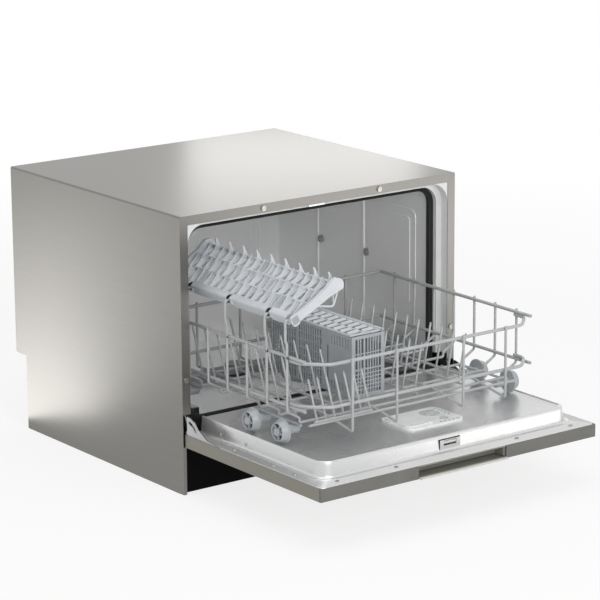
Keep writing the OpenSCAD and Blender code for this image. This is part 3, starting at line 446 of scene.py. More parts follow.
# %% [markdown]
# ## Coated wire
#
# The basket is mild steel wire, bent on pins, spot-welded and dipped in nylon. Each wire could be swept as
# a mesh. A curve with a round bevel is shorter to write and keeps every bend smooth, so all the wires of
# one grille are splines of one curve. Nylon rounds off a cut end like the end of a match, so a spline's
# last few points shrink along a quarter circle.

# %% A wire with rounded bends and domed ends
BEND_STEPS, DOME_STEPS = 5, 4
LONGEST_BEND = 0.45         # a bend takes at most this share of the straight on either side
DOME_TIP = 0.02             # the very end of a dome keeps this share of the radius, so that it closes


def bent(path, radius):
    """The path with each corner replaced by an arc of that bend radius."""
    path = [Vector(p) for p in path]
    smooth = [path[0]]
    for before, here, after in zip(path, path[1:], path[2:]):
        back, on = (before - here).normalized(), (after - here).normalized()
        half = back.angle(on) / 2
        cut = min(radius / tan(half), (before - here).length * LONGEST_BEND,
                  (after - here).length * LONGEST_BEND)
        start, end = here + back * cut, here + on * cut
        for k in range(BEND_STEPS + 1):
            t = k / BEND_STEPS
            smooth.append(start.lerp(here, t).lerp(here.lerp(end, t), t))
    return smooth + [path[-1]]


def domed(path, radius):
    """(point, share of the radius) pairs, with both ends closed by a dome."""
    turns = [pi / 2 * k / DOME_STEPS for k in range(DOME_STEPS)]
    start = (path[1] - path[0]).normalized()
    end = (path[-2] - path[-1]).normalized()
    first = [(path[0] + start * radius * (1 - cos(pi / 2 - t)), sin(t) + DOME_TIP) for t in turns]
    last = [(path[-1] + end * radius * (1 - cos(pi / 2 - t)), sin(t) + DOME_TIP) for t in turns]
    inner = [(p, 1.0) for p in (path[0] + start * radius, *path[1:-1], path[-1] + end * radius)]
    return first + inner + last[::-1]


def wires(name, paths, body, slot, bend=5.0):
    """One curve that holds many wires. Each wire is (list of points, radius)."""
    thick = max(radius for _, radius in paths)
    curve = bpy.data.curves.new(name, "CURVE")
    curve.dimensions = "3D"
    curve.bevel_depth = thick * MM
    curve.bevel_resolution = 3
    curve.materials.append(FINISHES[slot])
    for path, radius in paths:
        stops = domed(bent(path, bend), radius)
        spline = curve.splines.new("POLY")
        spline.points.add(len(stops) - 1)
        for point, (place, share) in zip(spline.points, stops):
            point.co = (*(place * MM), 1.0)
            point.radius = share * radius / thick
        spline.use_smooth = True
    made = bpy.data.objects.new(name, curve)
    bpy.context.scene.collection.objects.link(made)
    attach(made, body)
    return made


print("a straight wire has", len(domed([Vector((0, 0, 0)), Vector((9, 0, 0))], 1.0)), "points, domes and all")

# %% [markdown]
# ## The basket
#
# Seven hoops run down one side, jog in under the basket, cross the floor and climb the other side. Two
# rails a side are welded inside them. The front is its own bent rail whose ends lap beside the side rails.
# Each wire could be placed by eye. Here the basket's reach comes from the CAD nodes and the rest from a few
# sizes, so the wires lie where the solids are and each weld keeps its overlap.

# %% The basket's main sizes
hoops_low, hoops_high = corner("basket_hoops", 0), corner("basket_hoops", 1)
WIRE, RAIL, TINE = 2.1, 2.75, 1.7       # radii of the wires, coating and all
WELD, LONG_WELD = 0.4, 0.9              # how far welded wires sink into each other
HOOPS, HOOP_PITCH = 7, 52.0
RAIL_HIGH, RAIL_LOW = 264.0, 187.0
floor_z = (hoops_low.z + hoops_high.z) / 2
jog_x = hoops_high.x
hoop_back = hoops_high.y - WIRE
rail_x, shelf_z = 224.0, 322.0          # half the width between the side rails, the cup shelf's height
upright_x = rail_x + RAIL + WIRE - WELD
basket_front = corner("basket_front", 0).y + 2 * WIRE + RAIL - WELD
basket_rear = corner("basket_rear", 0).y + RAIL
hoop_y = [hoop_back - i * HOOP_PITCH for i in range(HOOPS)]
print("basket from y", round(basket_front), "to", round(basket_rear), "floor at z", round(floor_z, 1))

# %% Hoops
JOG_LOW, JOG_HIGH = 8.0, 21.0           # a hoop steps outwards between these heights over the floor
HOOP_TOP = 4.0                          # and ends this far above the upper rail
CORNER_CUT = 34.0                       # the front rail cuts off the basket's corners by this much
front_wire = basket_front + CORNER_CUT


def half_hoop(y, side):
    """From the floor's edge up to the top, on one side."""
    return [(side * jog_x, y, floor_z), (side * jog_x, y, floor_z + JOG_LOW),
            (side * upright_x, y, floor_z + JOG_HIGH), (side * upright_x, y, RAIL_HIGH + HOOP_TOP)]


hoop_paths = [(half_hoop(y, -1)[::-1] + half_hoop(y, 1), WIRE) for y in hoop_y]
hoop_paths.append(([(-jog_x, front_wire, floor_z), (jog_x, front_wire, floor_z)], WIRE))
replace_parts(wires("hoop_wires", hoop_paths, "basket", "wire_coating", 4.5), "basket_hoops")
print(len(hoop_paths), "wires across the floor")

# %% Side rails, and the tall uprights that carry the cup shelf
TALL = (1, 3, 5, 6)                     # the hoops, counted from the back, that go on upwards
RAIL_STOP = 18.0                        # the side rails end this far behind the front rail
STEP_LOW, STEP_HIGH, STEP_OUT = 20.0, 27.0, 3.0     # where they step outwards over the rail, and how far
PEG, PEG_HALF = 2.2, 8.0                # radius and half length of the pegs that the shelf clips on
shelf_pin = upright_x - 9.4             # half width to the pegs, on which the cup shelf turns
tall_y = [hoop_y[i] for i in TALL]


def side_wires(side):
    """Two rails, and on the left the tall uprights with their pegs."""
    rails = [([(side * rail_x, basket_rear, z), (side * rail_x, basket_front + RAIL_STOP, z)], RAIL)
             for z in (RAIL_HIGH, RAIL_LOW)]
    near, out, pin = side * upright_x, side * (upright_x + STEP_OUT), side * shelf_pin
    tall = [([(near, y, RAIL_HIGH - HOOP_TOP), (near, y, RAIL_HIGH + STEP_LOW),
              (out, y, RAIL_HIGH + STEP_HIGH), (out, y, shelf_z), (pin, y, shelf_z)], WIRE) for y in tall_y]
    pegs = [([(pin, y - PEG_HALF, shelf_z), (pin, y + PEG_HALF, shelf_z)], PEG) for y in tall_y]
    return rails + (tall + pegs if side < 0 else [])


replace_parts(wires("left_rails", side_wires(-1), "basket", "wire_coating"), "basket_left")
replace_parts(wires("right_rails", side_wires(1), "basket", "wire_coating"), "basket_right")
print(len(side_wires(-1)), "wires on the left and", len(side_wires(1)), "on the right")

# %% Front and rear grilles
LAP_END = 58.0                          # the front rail's ends run back this far beside the side rails
FEET_X, FOOT_Z = (-152, -66, 66, 152), 148.0
RAMP_END = 70.0                         # the long wires climb from their feet to the floor over this depth
long_z = floor_z + 2 * WIRE - LONG_WELD
front_rails = []
for z in (RAIL_HIGH - 2 * RAIL + WELD, RAIL_LOW + 2 * RAIL - WELD):
    outline = [(-rail_x, basket_front + LAP_END, z), (-rail_x, basket_front + CORNER_CUT, z),
               (-rail_x + CORNER_CUT, basket_front, z)]
    outline += [(-x, y, z) for x, y, z in outline[::-1]]
    front_rails.append((outline, RAIL))
grille_y = basket_front - RAIL - WIRE + WELD
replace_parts(wires("front_rails", front_rails, "basket", "wire_coating", 26.0), "basket_front")
rear_y = basket_rear + RAIL + WIRE - WELD
rear_rails = [([(-rail_x + RAIL, basket_rear, z), (rail_x - RAIL, basket_rear, z)], RAIL)
              for z in (RAIL_HIGH, RAIL_LOW)]
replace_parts(wires("rear_rails", rear_rails, "basket", "wire_coating"), "basket_rear")
long_wires = [([(x, grille_y, RAIL_HIGH), (x, grille_y, FOOT_Z), (x, basket_front + RAMP_END, long_z),
                (x, rear_y, long_z), (x, rear_y, RAIL_HIGH + HOOP_TOP)], WIRE) for x in FEET_X]
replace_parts(wires("long_wires", long_wires, "basket", "wire_coating", 3.5), "basket_runners")
print(len(long_wires), "long wires from the front rail under the floor to the rear rail")

# %% Tines that hold the plates apart
TINE_HEIGHT, ROW_END = 86.0, 8.0        # each row's own floor wire runs on by this much at its ends
# place across, gaps to the front and to the rear rail, count, lean backwards in degrees
TINE_ROWS = ((-186, 100, 62, 8, 20), (-112, 100, 62, 8, 20), (28, 70, 40, 11, -12), (118, 70, 40, 11, -12))


def tine(foot, height, lean):
    """One straight tine from its foot up, leaning back by lean degrees."""
    return [foot, foot + Vector((0, sin(radians(lean)), cos(radians(lean)))) * height], TINE


def tine_row(x, start, stop, count, lean):
    """A wire along the floor with its tines."""
    row = [([(x, start - ROW_END, long_z), (x, stop + ROW_END, long_z)], WIRE)]
    for k in range(count):
        foot = Vector((x, start + (stop - start) * k / (count - 1), long_z))
        row.append(tine(foot, TINE_HEIGHT, lean))
    return row


tines = []
for x, front_gap, rear_gap, count, lean in TINE_ROWS:
    tines += tine_row(x, basket_front + front_gap, basket_rear - rear_gap, count, lean)
print(len(tines), "wires in the long rows")

# %% The row of small tines across the front
SMALL_TINES, SMALL_START, SMALL_PITCH = 7, -190, 17
SMALL_HEIGHT, SMALL_LEAN = 66.0, 20
SMALL_BAR, SMALL_BAR_X = 2.0, (-196, -84)
small_z = floor_z + WIRE + SMALL_BAR - WELD
tines.append(([(x, front_wire, small_z) for x in SMALL_BAR_X], SMALL_BAR))
for k in range(SMALL_TINES):
    foot = Vector((SMALL_START + SMALL_PITCH * k, front_wire, small_z))
    tines.append(tine(foot, SMALL_HEIGHT, SMALL_LEAN))
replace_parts(wires("plate_tine_wires", tines, "basket", "wire_coating"), "plate_tines")
print(len(tines), "tine wires")

# %% [markdown]
# ## Wheels
#
# Each wheel is moulded with a wide flange on the inside that keeps it on its track, a coned tread, and a
# face with a groove round the hub. A stack of cylinders could stand for it, but would have a knife edge at
# each step. So one profile with rounded edges is swept round the wheel's axis. Five short spokes bridge the
# groove, and between them a dark ring at the groove's bottom is painted shade, not a real washer.

# %% A wheel's profile and spokes
WHEEL_SPOKES, SPOKE_HALF, SPOKE_TURN = 5, 1.4, 0.5      # count, half width in mm, turn in radians
PIN, HUB = 4.05, 6.2                                    # radii of the axle's hole and of the hub


def wheel(node, side):
    """A wheel in the place of a CAD node, with its face to that side."""
    low, high = corner(node, 0), corner(node, 1)
    outer = (high.y - low.y) / 2
    width = high.x - low.x
    centre = Vector((low.x if side > 0 else high.x, (low.y + high.y) / 2, (low.z + high.z) / 2))
    profile = [(width - 4, PIN), (width - 0.4, PIN), (width, PIN + 0.4), (width, HUB - 0.4),
               (width - 0.4, HUB), (width - 4.5, HUB + 0.3), (width - 4.8, HUB + 0.8),
               (width - 4.8, outer - 7.4), (width - 4.3, outer - 7), (width - 0.6, outer - 6.6),
               (width, outer - 6), (width, outer - 5.2), (width - 0.6, outer - 4.6),
               (3.4, outer - 2.4), (2.8, outer - 1.8), (2.5, outer - 0.5),
               (2.1, outer), (0.5, outer), (0, outer - 0.6), (0, PIN + 0.3), (0.3, PIN)]
    points, faces = turned(profile, centre, (side, 0, 0), 48)
    parts = [(points, faces[:-2])]                      # without the two caps, so the hole stays open
    for k in range(WHEEL_SPOKES):
        turn = Matrix.Rotation(2 * pi * k / WHEEL_SPOKES + SPOKE_TURN, 3, "X")
        block, faces = box_mesh((width - 5.2, -SPOKE_HALF, HUB - 0.5), (width - 1.2, SPOKE_HALF, outer - 6.4))
        parts.append(([centre + turn @ Vector((side * x, y, z)) for x, y, z in block], faces))
    return parts


print(WHEEL_SPOKES, "spokes in a wheel")

# %% All eight wheels, with painted shade in their grooves
# a dark ring deep in each wheel's groove: painted shade, in the dark plastic finish
SHADE_RING_OUTER, SHADE_RING_INNER, SHADE_RING_THICK, SHADE_RING_IN = 12.1, 7.0, 0.5, 4.9
for side, word in ((-1, "left"), (1, "right")):
    for i in range(1, 5):
        name = f"wheel_{word}_{i}"
        made = sheet_mesh(f"{name}_moulding", *merge(*wheel(name, side)), name,
                          FINISHES["wheel_plastic"], "wheel_plastic")
        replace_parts(made, name)
        low, high = corner(name, 0), corner(name, 1)
        face = high.x - low.x - SHADE_RING_IN
        ring = [(face, SHADE_RING_INNER), (face + SHADE_RING_THICK, SHADE_RING_INNER),
                (face + SHADE_RING_THICK, SHADE_RING_OUTER), (face, SHADE_RING_OUTER)]
        centre = (low.x if side > 0 else high.x, (low.y + high.y) / 2, (low.z + high.z) / 2)
        points, faces = turned(ring + ring[:1], centre, (side, 0, 0), 32)
        sheet_mesh(f"{name}_groove_shade", points, faces[:-2], name, FINISHES["dark_plastic"], "wheel_plastic")
        print(name, "at y", round(centre[1], 1))

# %% [markdown]
# ## The door's liner
#
# The liner is one sheet of stainless steel pressed into a shallow pan: a flat flange with a stiffening
# bead, a steep wall, a rounded rim and a sunk floor. It could be cut from a solid, but a solid with sharp
# edges looks machined. So it is made as a cross section that is carried round the pan's outline, with a
# small radius at each fold. The floor is filled in last, round the opening for the dispenser.

# %% Sizes of the liner
liner_low, liner_high = corner("door_liner", 0), corner("door_liner", 1)
dish_low, dish_high = corner("dispenser_body", 0), corner("dispenser_body", 1)
flange_z = liner_low.z + 1
flange_x, flange_front, pan_back = liner_high.x, liner_low.y, liner_high.y
PAN_X, PAN_CORNER, FLANGE_DEPTH = 246.0, 24.0, 31.0
HINGE_NOTCH, ARM_SLOT = (257.0, -276.0), (269.7, -346.3)    # half width, and the y that it starts from
SLOT_HALF, SLOT_LOW, SLOT_HIGH = 12.3, 110.7, 119.3         # the latch bolt's slot in the front wall
ARC_STEPS = 14
pan_front = flange_front + FLANGE_DEPTH
rim_z, pan_floor = liner_high.z, liner_high.z - 2.5
well_x = (dish_low.x + 2, dish_high.x - 2)
well_y = (dish_low.y + 2, dish_high.y - 2)


def flange_reach(y):
    """Half width of the flange at y. It steps in beside the hinge arms and again at the hinges."""
    return HINGE_NOTCH[0] if y > HINGE_NOTCH[1] else ARM_SLOT[0] if y > ARM_SLOT[1] else flange_x


print("liner", round(2 * flange_x), "mm wide, its rim at z", round(rim_z, 1))

# %% The liner's outline, from the back left round to the back right
def pan_line(inset):
    """Points round the pan's wall, moved in by inset. A negative inset moves them out onto the flange."""
    side = PAN_X - inset
    radius = PAN_CORNER - inset
    centre_x, centre_y = PAN_X - PAN_CORNER, pan_front + PAN_CORNER
    steps = [pan_back, HINGE_NOTCH[1], HINGE_NOTCH[1] - 0.1, ARM_SLOT[1], ARM_SLOT[1] - 0.1]
    arc = [radians(180 + 90 * k / ARC_STEPS) for k in range(ARC_STEPS + 1)]
    left = [(-side, y) for y in steps]
    left += [(-centre_x + radius * cos(a), centre_y + radius * sin(a)) for a in arc]
    front = [(x, pan_front + inset) for x in (well_x[0], -SLOT_HALF, SLOT_HALF, well_x[1])]
    return left + front + [(-x, y) for x, y in left[::-1]]


def flange_line(margin):
    """The flange's outer edge, one point beyond each point of the pan's line, moved in by margin."""
    edge = []
    corner_x, corner_y = PAN_X - PAN_CORNER, pan_front + PAN_CORNER
    for x, y in pan_line(0.0):
        side = 1 if x > 0 else -1
        if y > corner_y - 0.001:
            edge.append((side * (flange_reach(y + 0.05) - margin), y))
        elif abs(x) < corner_x + 0.001:
            edge.append((x, flange_front + margin))
        else:
            out, down = abs(x) - corner_x, corner_y - y
            scale = min((flange_x - margin - corner_x) / out, (corner_y - flange_front - margin) / down)
            edge.append((side * (corner_x + out * scale), corner_y - down * scale))
    return edge


print(len(pan_line(0.0)), "points round the pan")

# %% The liner as a skin over its cross section
def pressed_liner():
    """Flange, bead, steep wall with the latch's slot, rounded rim, and floor with the dispenser's well."""
    rows = [[(x, y, z) for x, y in flange_line(margin)]
            for margin, z in ((0.0, flange_z - 1), (0.0, flange_z - 0.3), (0.3, flange_z))]
    section = [(-10.2, flange_z), (-9.6, flange_z + 0.7), (-8.6, flange_z + 0.9), (-7.8, flange_z + 0.5),
               (-7.2, flange_z), (-3.0, flange_z), (-1.2, flange_z + 0.5), (-0.3, flange_z + 1.6),
               (0.1, flange_z + 3.5), (0.6, SLOT_LOW), (1.5, SLOT_HIGH), (2.1, rim_z - 2.0),
               (2.6, rim_z - 0.7), (3.4, rim_z), (4.4, rim_z - 0.1), (5.4, rim_z - 0.8), (6.2, rim_z - 1.8),
               (7.4, pan_floor + 0.2), (9.0, pan_floor)]
    rows += [[(x, y, z) for x, y in pan_line(inset)] for inset, z in section]
    count = len(rows[0])
    points, faces = skin(rows, closed_ring=False)
    slot_row = next(i for i, row in enumerate(rows) if row[0][2] == SLOT_LOW)
    slot_left = next(j for j, p in enumerate(rows[0]) if p[0] == -SLOT_HALF)
    faces[slot_row * (count - 1) + slot_left] = None
    faces = [face for face in faces if face]
    mouth = [points[row * count + slot_left + k] for row, k in
             ((slot_row, 0), (slot_row, 1), (slot_row + 1, 1), (slot_row + 1, 0))]
    throat = [(x, y + 2.0, z) for x, y, z in mouth]
    tunnel = skin([mouth, throat])
    rim = len(points) - count
    left, right = slot_left - 1, slot_left + 2
    base = len(points)
    for x in well_x:
        points += [(x, well_y[0], pan_floor), (x, well_y[1], pan_floor), (x, pan_back, pan_floor)]
    points += [(x, pan_back, flange_z - 1)
               for x in (points[rim][0], well_x[0], well_x[1], points[base - 1][0])]
    a, b, drop = base, base + 3, base + 6
    faces += [tuple(range(rim, rim + left + 1)) + (a, a + 1, a + 2),
              tuple(range(rim + left, rim + right + 1)) + (b, a),
              (a + 1, b + 1, b + 2, a + 2),
              tuple(range(rim + right, rim + count)) + (b + 2, b + 1, b),
              (rim, a + 2, drop + 1, drop), (a + 2, b + 2, drop + 2, drop + 1),
              (b + 2, rim + count - 1, drop + 3, drop + 2)]
    return merge((points, faces), tunnel)


liner = sheet_mesh("pressed_liner", *pressed_liner(), "door", FINISHES["liner_steel"], "tub_steel", 50)
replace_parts(liner, "door_liner")
print("liner with", len(liner.data.polygons), "faces")

# %% Small screws through the pan's side walls
WALL_SCREW_Y = (-309.0, -377.0)
WALL_SCREW_Z = 110.0
for side, word in ((-1, "left"), (1, "right")):
    heads = []
    for y in WALL_SCREW_Y:
        dome = [(0.0, 2.8), (0.5, 2.7), (1.1, 2.0), (1.3, 1.3), (0.6, 1.1), (0.6, 0.2)]
        heads.append(turned(dome, (side * (PAN_X - 0.2), y, WALL_SCREW_Z), (side, 0, 0), 20))
    sheet_mesh(f"liner_screws_{word}", *merge(*heads), "door", FINISHES["zinc_screws"], "zinc_screws")
print(2 * len(WALL_SCREW_Y), "wall screws")

# %% [markdown]
# ## The latch cover
#
# The bolt slides in a slot of the liner's front wall. A thin plate covers the slot all round the bolt. The
# gap along the plate's top and one end lies in shade, and a thin dark strip there is painted shade. The plate
# could be part of the liner, but on the real door it is a part of its own, so it is four thin slabs round the
# bolt's hole.

# %% Latch cover, and painted shade in its gap
bolt_low, bolt_high = corner("latch_bolt", 0), corner("latch_bolt", 1)
COVER_HALF, COVER_LOW, COVER_HIGH, COVER_THICK = 20.0, 106.0, 120.5, 1.2
SHADE_STRIP, BOLT_GAP = 1.3, 0.6
hole_x = (bolt_low.x - BOLT_GAP, bolt_high.x + BOLT_GAP)
hole_z = (bolt_low.z - BOLT_GAP, bolt_high.z + BOLT_GAP)
cover_back = pan_front + 1.6
cover_y = (cover_back - COVER_THICK - 0.8, cover_back)
cover_parts = [box_mesh((-COVER_HALF, cover_y[0], COVER_LOW), (hole_x[0], cover_y[1], COVER_HIGH)),
               box_mesh((hole_x[1], cover_y[0], COVER_LOW), (COVER_HALF, cover_y[1], COVER_HIGH)),
               box_mesh((hole_x[0], cover_y[0], COVER_LOW), (hole_x[1], cover_y[1], hole_z[0])),
               box_mesh((hole_x[0], cover_y[0], hole_z[1]), (hole_x[1], cover_y[1], COVER_HIGH))]
sheet_mesh("latch_cover", *merge(*cover_parts), "door", FINISHES["liner_steel"], "tub_steel")
# a dark strip along the plate's top and left end is painted shade of the gap, in the black rubber finish
shade_top = COVER_HIGH + SHADE_STRIP
gap_shade_parts = [box_mesh((-COVER_HALF - SHADE_STRIP, cover_y[0], COVER_LOW), (-COVER_HALF, cover_y[1], shade_top)),
              box_mesh((-COVER_HALF, cover_y[0], COVER_HIGH), (COVER_HALF, cover_y[1], shade_top))]
sheet_mesh("latch_gap_shade", *merge(*gap_shade_parts), "door", FINISHES["black_rubber"], "black_rubber")
print("bolt", [round(c, 1) for c in bolt_low], "to", [round(c, 1) for c in bolt_high])

# %% [markdown]
# ## Vents of the detergent dispenser
#
# Water gets under the dispenser's cover through rows of short slots along two of its edges. They are moulded
# right through on the real cover. From above each one is only a small dark mark, the shade inside the slot.
# No slot is cut here: shallow dark inlays paint that shade, a tenth of a millimetre proud so that they don't
# flicker with the face they lie on.

# %% Dispenser vents, as painted shade
VENT_LONG, VENT_WIDE, VENT_PITCH, VENT_INSET = 5.0, 1.6, 8.5, 6.0
FIRST_VENT, VENTS_A_ROW = 3.0, 5
vent_low, vent_high = dish_high.z - 0.5, dish_high.z + 0.1
vent_shades = []
for k in range(VENTS_A_ROW):
    x = dish_high.x - VENT_INSET - FIRST_VENT - VENT_PITCH * k
    vent_shades.append(box_mesh((x - VENT_LONG, dish_low.y + VENT_INSET, vent_low),
                          (x, dish_low.y + VENT_INSET + VENT_WIDE, vent_high)))
    y = dish_high.y - VENT_INSET - FIRST_VENT - VENT_PITCH * k
    vent_shades.append(box_mesh((dish_high.x - VENT_INSET - VENT_WIDE, y - VENT_LONG, vent_low),
                          (dish_high.x - VENT_INSET, y, vent_high)))
# the dark inlays are painted shade of slots that are not cut
sheet_mesh("dispenser_vent_shade", *merge(*vent_shades), "door", FINISHES["dark_plastic"], "white_plastic")
print(len(vent_shades), "vent_shades")

# %% [markdown]
# ## Mitred corners
#
# The cover's front edge is folded in on three sides, and the folds meet in a mitre at each top corner. The
# joint shows as a fine dark line, the shade in its narrow gap. It is too fine to cut, so a thin dark strip
# laid on the seam paints that shade.

# %% Painted shade in the mitre seams
cover_low, cover_high = corner("outer_cover", 0), corner("outer_cover", 1)
RETURN, SEAM, SEAM_END = 15.0, 0.7, 0.6         # the folds' width, the strip's, and its gap to the corner
SEAM_IN, SEAM_PROUD = 0.3, 0.08
# each strip is painted shade of the mitre gap, a dark sliver in the powder-coated finish
seam_shades = []
for side in (-1, 1):
    outer, inner = side * (cover_high.x - SEAM_END), side * (cover_high.x - RETURN)
    ends = [(outer, cover_high.z - SEAM_END), (inner, cover_high.z - RETURN)]
    ring = [(x + side * s * SEAM / 2, z + s * SEAM / 2)
            for (x, z), s in zip(ends + ends[::-1], (1, 1, -1, -1))]
    rows = [[(x, y, z) for x, z in ring] for y in (cover_low.y + SEAM_IN, cover_low.y - SEAM_PROUD)]
    points, faces = skin(rows)
    seam_shades.append((points, faces + [(0, 1, 2, 3), (7, 6, 5, 4)]))
sheet_mesh("mitre_gap_shade", *merge(*seam_shades), "cabinet", FINISHES["dark_sheet"], "brushed_steel_cover")
print(len(seam_shades), "mitre seams")

# %% [markdown]
# ## The door seal
#
# The seal is one rubber extrusion pushed into a channel round the tub's mouth. It could be a tube, but the
# real one has a soft bulb that the door presses and a groove beside it. Its section is carried round the
# mouth between two rounded outlines, and along the sill it widens to a flat lip.

# %% Seal
SEAL_WIDTH, SILL_WIDTH = 8.0, 22.0              # of the bulb, and of the flat lip along the sill
OUTER_CORNER, INNER_CORNER, CORNER_STEPS = 30.0, 24.0, 10


def rounded(half, low, high, radius):
    """A rectangle with round corners in X and Z, as a list of points."""
    points = []
    for x, z, start in ((half - radius, high - radius, 0), (radius - half, high - radius, 90),
                        (radius - half, low + radius, 180), (half - radius, low + radius, 270)):
        turn = [radians(start + 90 * k / CORNER_STEPS) for k in range(CORNER_STEPS + 1)]
        points += [(x + radius * cos(a), z + radius * sin(a)) for a in turn]
    return points


def seal_mesh():
    """The seal's section, as (share of the way inwards, y) pairs, carried round the mouth."""
    low, high = corner("door_gasket", 0), corner("door_gasket", 1)
    outer = rounded(high.x, low.z, high.z, OUTER_CORNER)
    inner = rounded(high.x - SEAL_WIDTH, low.z + SILL_WIDTH, high.z - SEAL_WIDTH, INNER_CORNER)
    profile = [(0.0, high.y - 0.2), (0.0, low.y + 0.4), (0.12, low.y), (0.3, low.y + 0.5), (0.4, low.y + 2.2),
               (0.5, low.y + 1.4), (0.72, low.y + 0.3), (0.9, low.y + 1.2), (1.0, low.y + 3.5),
               (0.97, low.y + 6.5), (0.8, high.y - 3.0), (0.6, high.y - 0.2)]
    rows = [[(ox + (ix - ox) * share, y, oz + (iz - oz) * share) for (ox, oz), (ix, iz) in zip(outer, inner)]
            for share, y in profile]
    return skin(rows, closed_rows=True)


seal = sheet_mesh("door_seal", *seal_mesh(), "cabinet", FINISHES["black_rubber"], "black_rubber", 60)
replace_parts(seal, "door_gasket")
print("seal with", len(seal.data.polygons), "faces")

# %% [markdown]
# ## The cup shelf
#
# Cups hang or lean on a moulded comb: a hinge rail that clips on the tall wires, two thin rails, and rows
# of fins that rise from rail to rail and end in a tall curved tooth. Modelling each fin by hand would take
# long, so one outline is drawn across the shelf, given the sheet thickness, and repeated along it. Points
# are given on the shelf's own plane, and one function tilts them to their place.

# %% The shelf's own plane
SHELF_TILT = radians(27)
SHELF_LENGTH, SHELF_WIDTH = 345.0, 95.0
FIN_PITCH, FIRST_FIN, FIN_THICK, TOOTH = 37.0, 14.0, 2.2, 22.0
SCALLOP_STEPS = 5
shelf_front = basket_front + 48


def on_shelf(u, v, w):
    """A point u across the shelf from its hinge, v along it and w above its plane."""
    return (-shelf_pin + u * cos(SHELF_TILT) - w * sin(SHELF_TILT), shelf_front + v,
            shelf_z + u * sin(SHELF_TILT) + w * cos(SHELF_TILT))


def extruded(outline, start, stop, place):
    """A closed outline of two coordinates, carried from start to stop by place(a, along, b)."""
    first = [place(a, start, b) for a, b in outline]
    last = [place(a, stop, b) for a, b in outline]
    points, faces = skin([first, last])
    ring = len(outline)
    return points, faces + [tuple(range(ring)), tuple(range(2 * ring - 1, ring - 1, -1))]


def scallop(u0, u1, low, high):
    """A fin's upper edge, which rises in a curve from low to high and drops at its end."""
    curve = [(u0 + (u1 - u0) * k / SCALLOP_STEPS, low + (high - low) * (k / SCALLOP_STEPS) ** 1.5)
             for k in range(SCALLOP_STEPS + 1)]
    return curve + [(u1 + 1.2, high - 0.4), (u1 + 2.0, low + 1.0)]


print("shelf", SHELF_LENGTH, "by", SHELF_WIDTH, "mm, its front at y", round(shelf_front, 1))

# %% Outlines of the fins, the slats and the rails
SLAT_PITCH, SLAT_THICK = 4.2, 1.3


def tall_fin():
    """A fin that ends in the curved tooth."""
    tooth = [(72 + 20 * sin(t), 4 + (TOOTH - 4) * (1 - cos(t))) for t in [pi / 2 * k / 7 for k in range(8)]]
    back = [(94.2, TOOTH - 0.6), (95.0, TOOTH - 4), (94.6, 9), (SHELF_WIDTH, -3)]
    return [(4, -3), (6, 1)] + scallop(9, 33, 3, 12) + scallop(40, 62, 4, 14) + tooth + back


def short_fin():
    """The lower fin between two tall ones."""
    return [(4, -3), (6, 1)] + scallop(9, 33, 2, 8) + scallop(40, 62, 2.5, 9) + scallop(69, 90, 2.5, 10) + [
        (SHELF_WIDTH - 1, -3)]


def slats(u0, u1, start, count):
    """A cluster of thin slats that keeps glasses' stems apart."""
    shape = [(u0, -2.6), (u0, 0.5)] + scallop(u0 + 1, u1 - 3, 1.0, 8.0) + [(u1, -2.6)]
    return [extruded(shape, start + SLAT_PITCH * k, start + SLAT_PITCH * k + SLAT_THICK, on_shelf)
            for k in range(count)]


def bar(u0, u1, start, stop, low, high, round_by=1.0):
    """A long bar with its edges rounded."""
    shape = []
    for u, w, turn in ((u1 - round_by, high - round_by, 0), (u0 + round_by, high - round_by, 90),
                       (u0 + round_by, low + round_by, 180), (u1 - round_by, low + round_by, 270)):
        shape += [(u + round_by * cos(radians(turn + 30 * k)), w + round_by * sin(radians(turn + 30 * k)))
                  for k in range(4)]
    return extruded(shape, start, stop, on_shelf)


print(len(tall_fin()), "points in a tall fin's outline and", len(short_fin()), "in a short one's")

# %% Fins, rails and slats along the shelf
SHELF_RAILS = ((36, -3.2, 2.6), (65, -3.2, 2.6), (91, -3.2, 3.0))       # place across, lowest, highest
RAIL_WIDE, RAIL_GAP = 4, 5
# from and to across the shelf, start along it, count
SLAT_CLUSTERS = ((68, 92, 158, 5), (8, 37, 58, 6), (8, 37, 262, 5), (40, 66, 118, 4))
shelf_parts = []
fins = int((SHELF_LENGTH - 9 - FIRST_FIN) // FIN_PITCH) + 1
for k in range(fins):
    v = FIRST_FIN + FIN_PITCH * k
    shelf_parts.append(extruded(tall_fin(), v, v + FIN_THICK, on_shelf))
    if v + FIN_PITCH / 2 < SHELF_LENGTH - 10:
        shelf_parts.append(extruded(short_fin(), v + FIN_PITCH / 2, v + FIN_PITCH / 2 + FIN_THICK, on_shelf))
for u, low, high in SHELF_RAILS:
    shelf_parts.append(bar(u, u + RAIL_WIDE, RAIL_GAP, SHELF_LENGTH - RAIL_GAP, low, high))
for cluster in SLAT_CLUSTERS:
    shelf_parts += slats(*cluster)
print(fins, "tall fins in", len(shelf_parts), "parts")

# %% Hinge rail with its clips
CLIP_GAP = 5.2                          # half the gap in the rail where a peg shows
clip_v = sorted(y - shelf_front for y in tall_y)
stops = [0.0] + [v + s * CLIP_GAP for v in clip_v for s in (-1, 1)] + [SHELF_LENGTH]
for start, stop in zip(stops[::2], stops[1::2]):
    if stop - start > 1:
        shelf_parts.append(bar(-6, 7, start, stop, -9, 9, 3.0))
for v in clip_v:
    for s in (-1, 1):
        ring = [(0.0, 5.4), (0.0, 6.9), (0.6, 7.4), (4.4, 7.4), (5.0, 6.9), (5.0, 5.4)]
        edge = v + s * CLIP_GAP
        if 6 < edge < SHELF_LENGTH - 6:
            shelf_parts.append(turned(ring, on_shelf(0, edge, 0), (0, s, 0), 24))
print(len(stops) // 2, "lengths of hinge rail")

# %% The curved ends
END_BAR = 7.5                           # how thick the bar across each end is


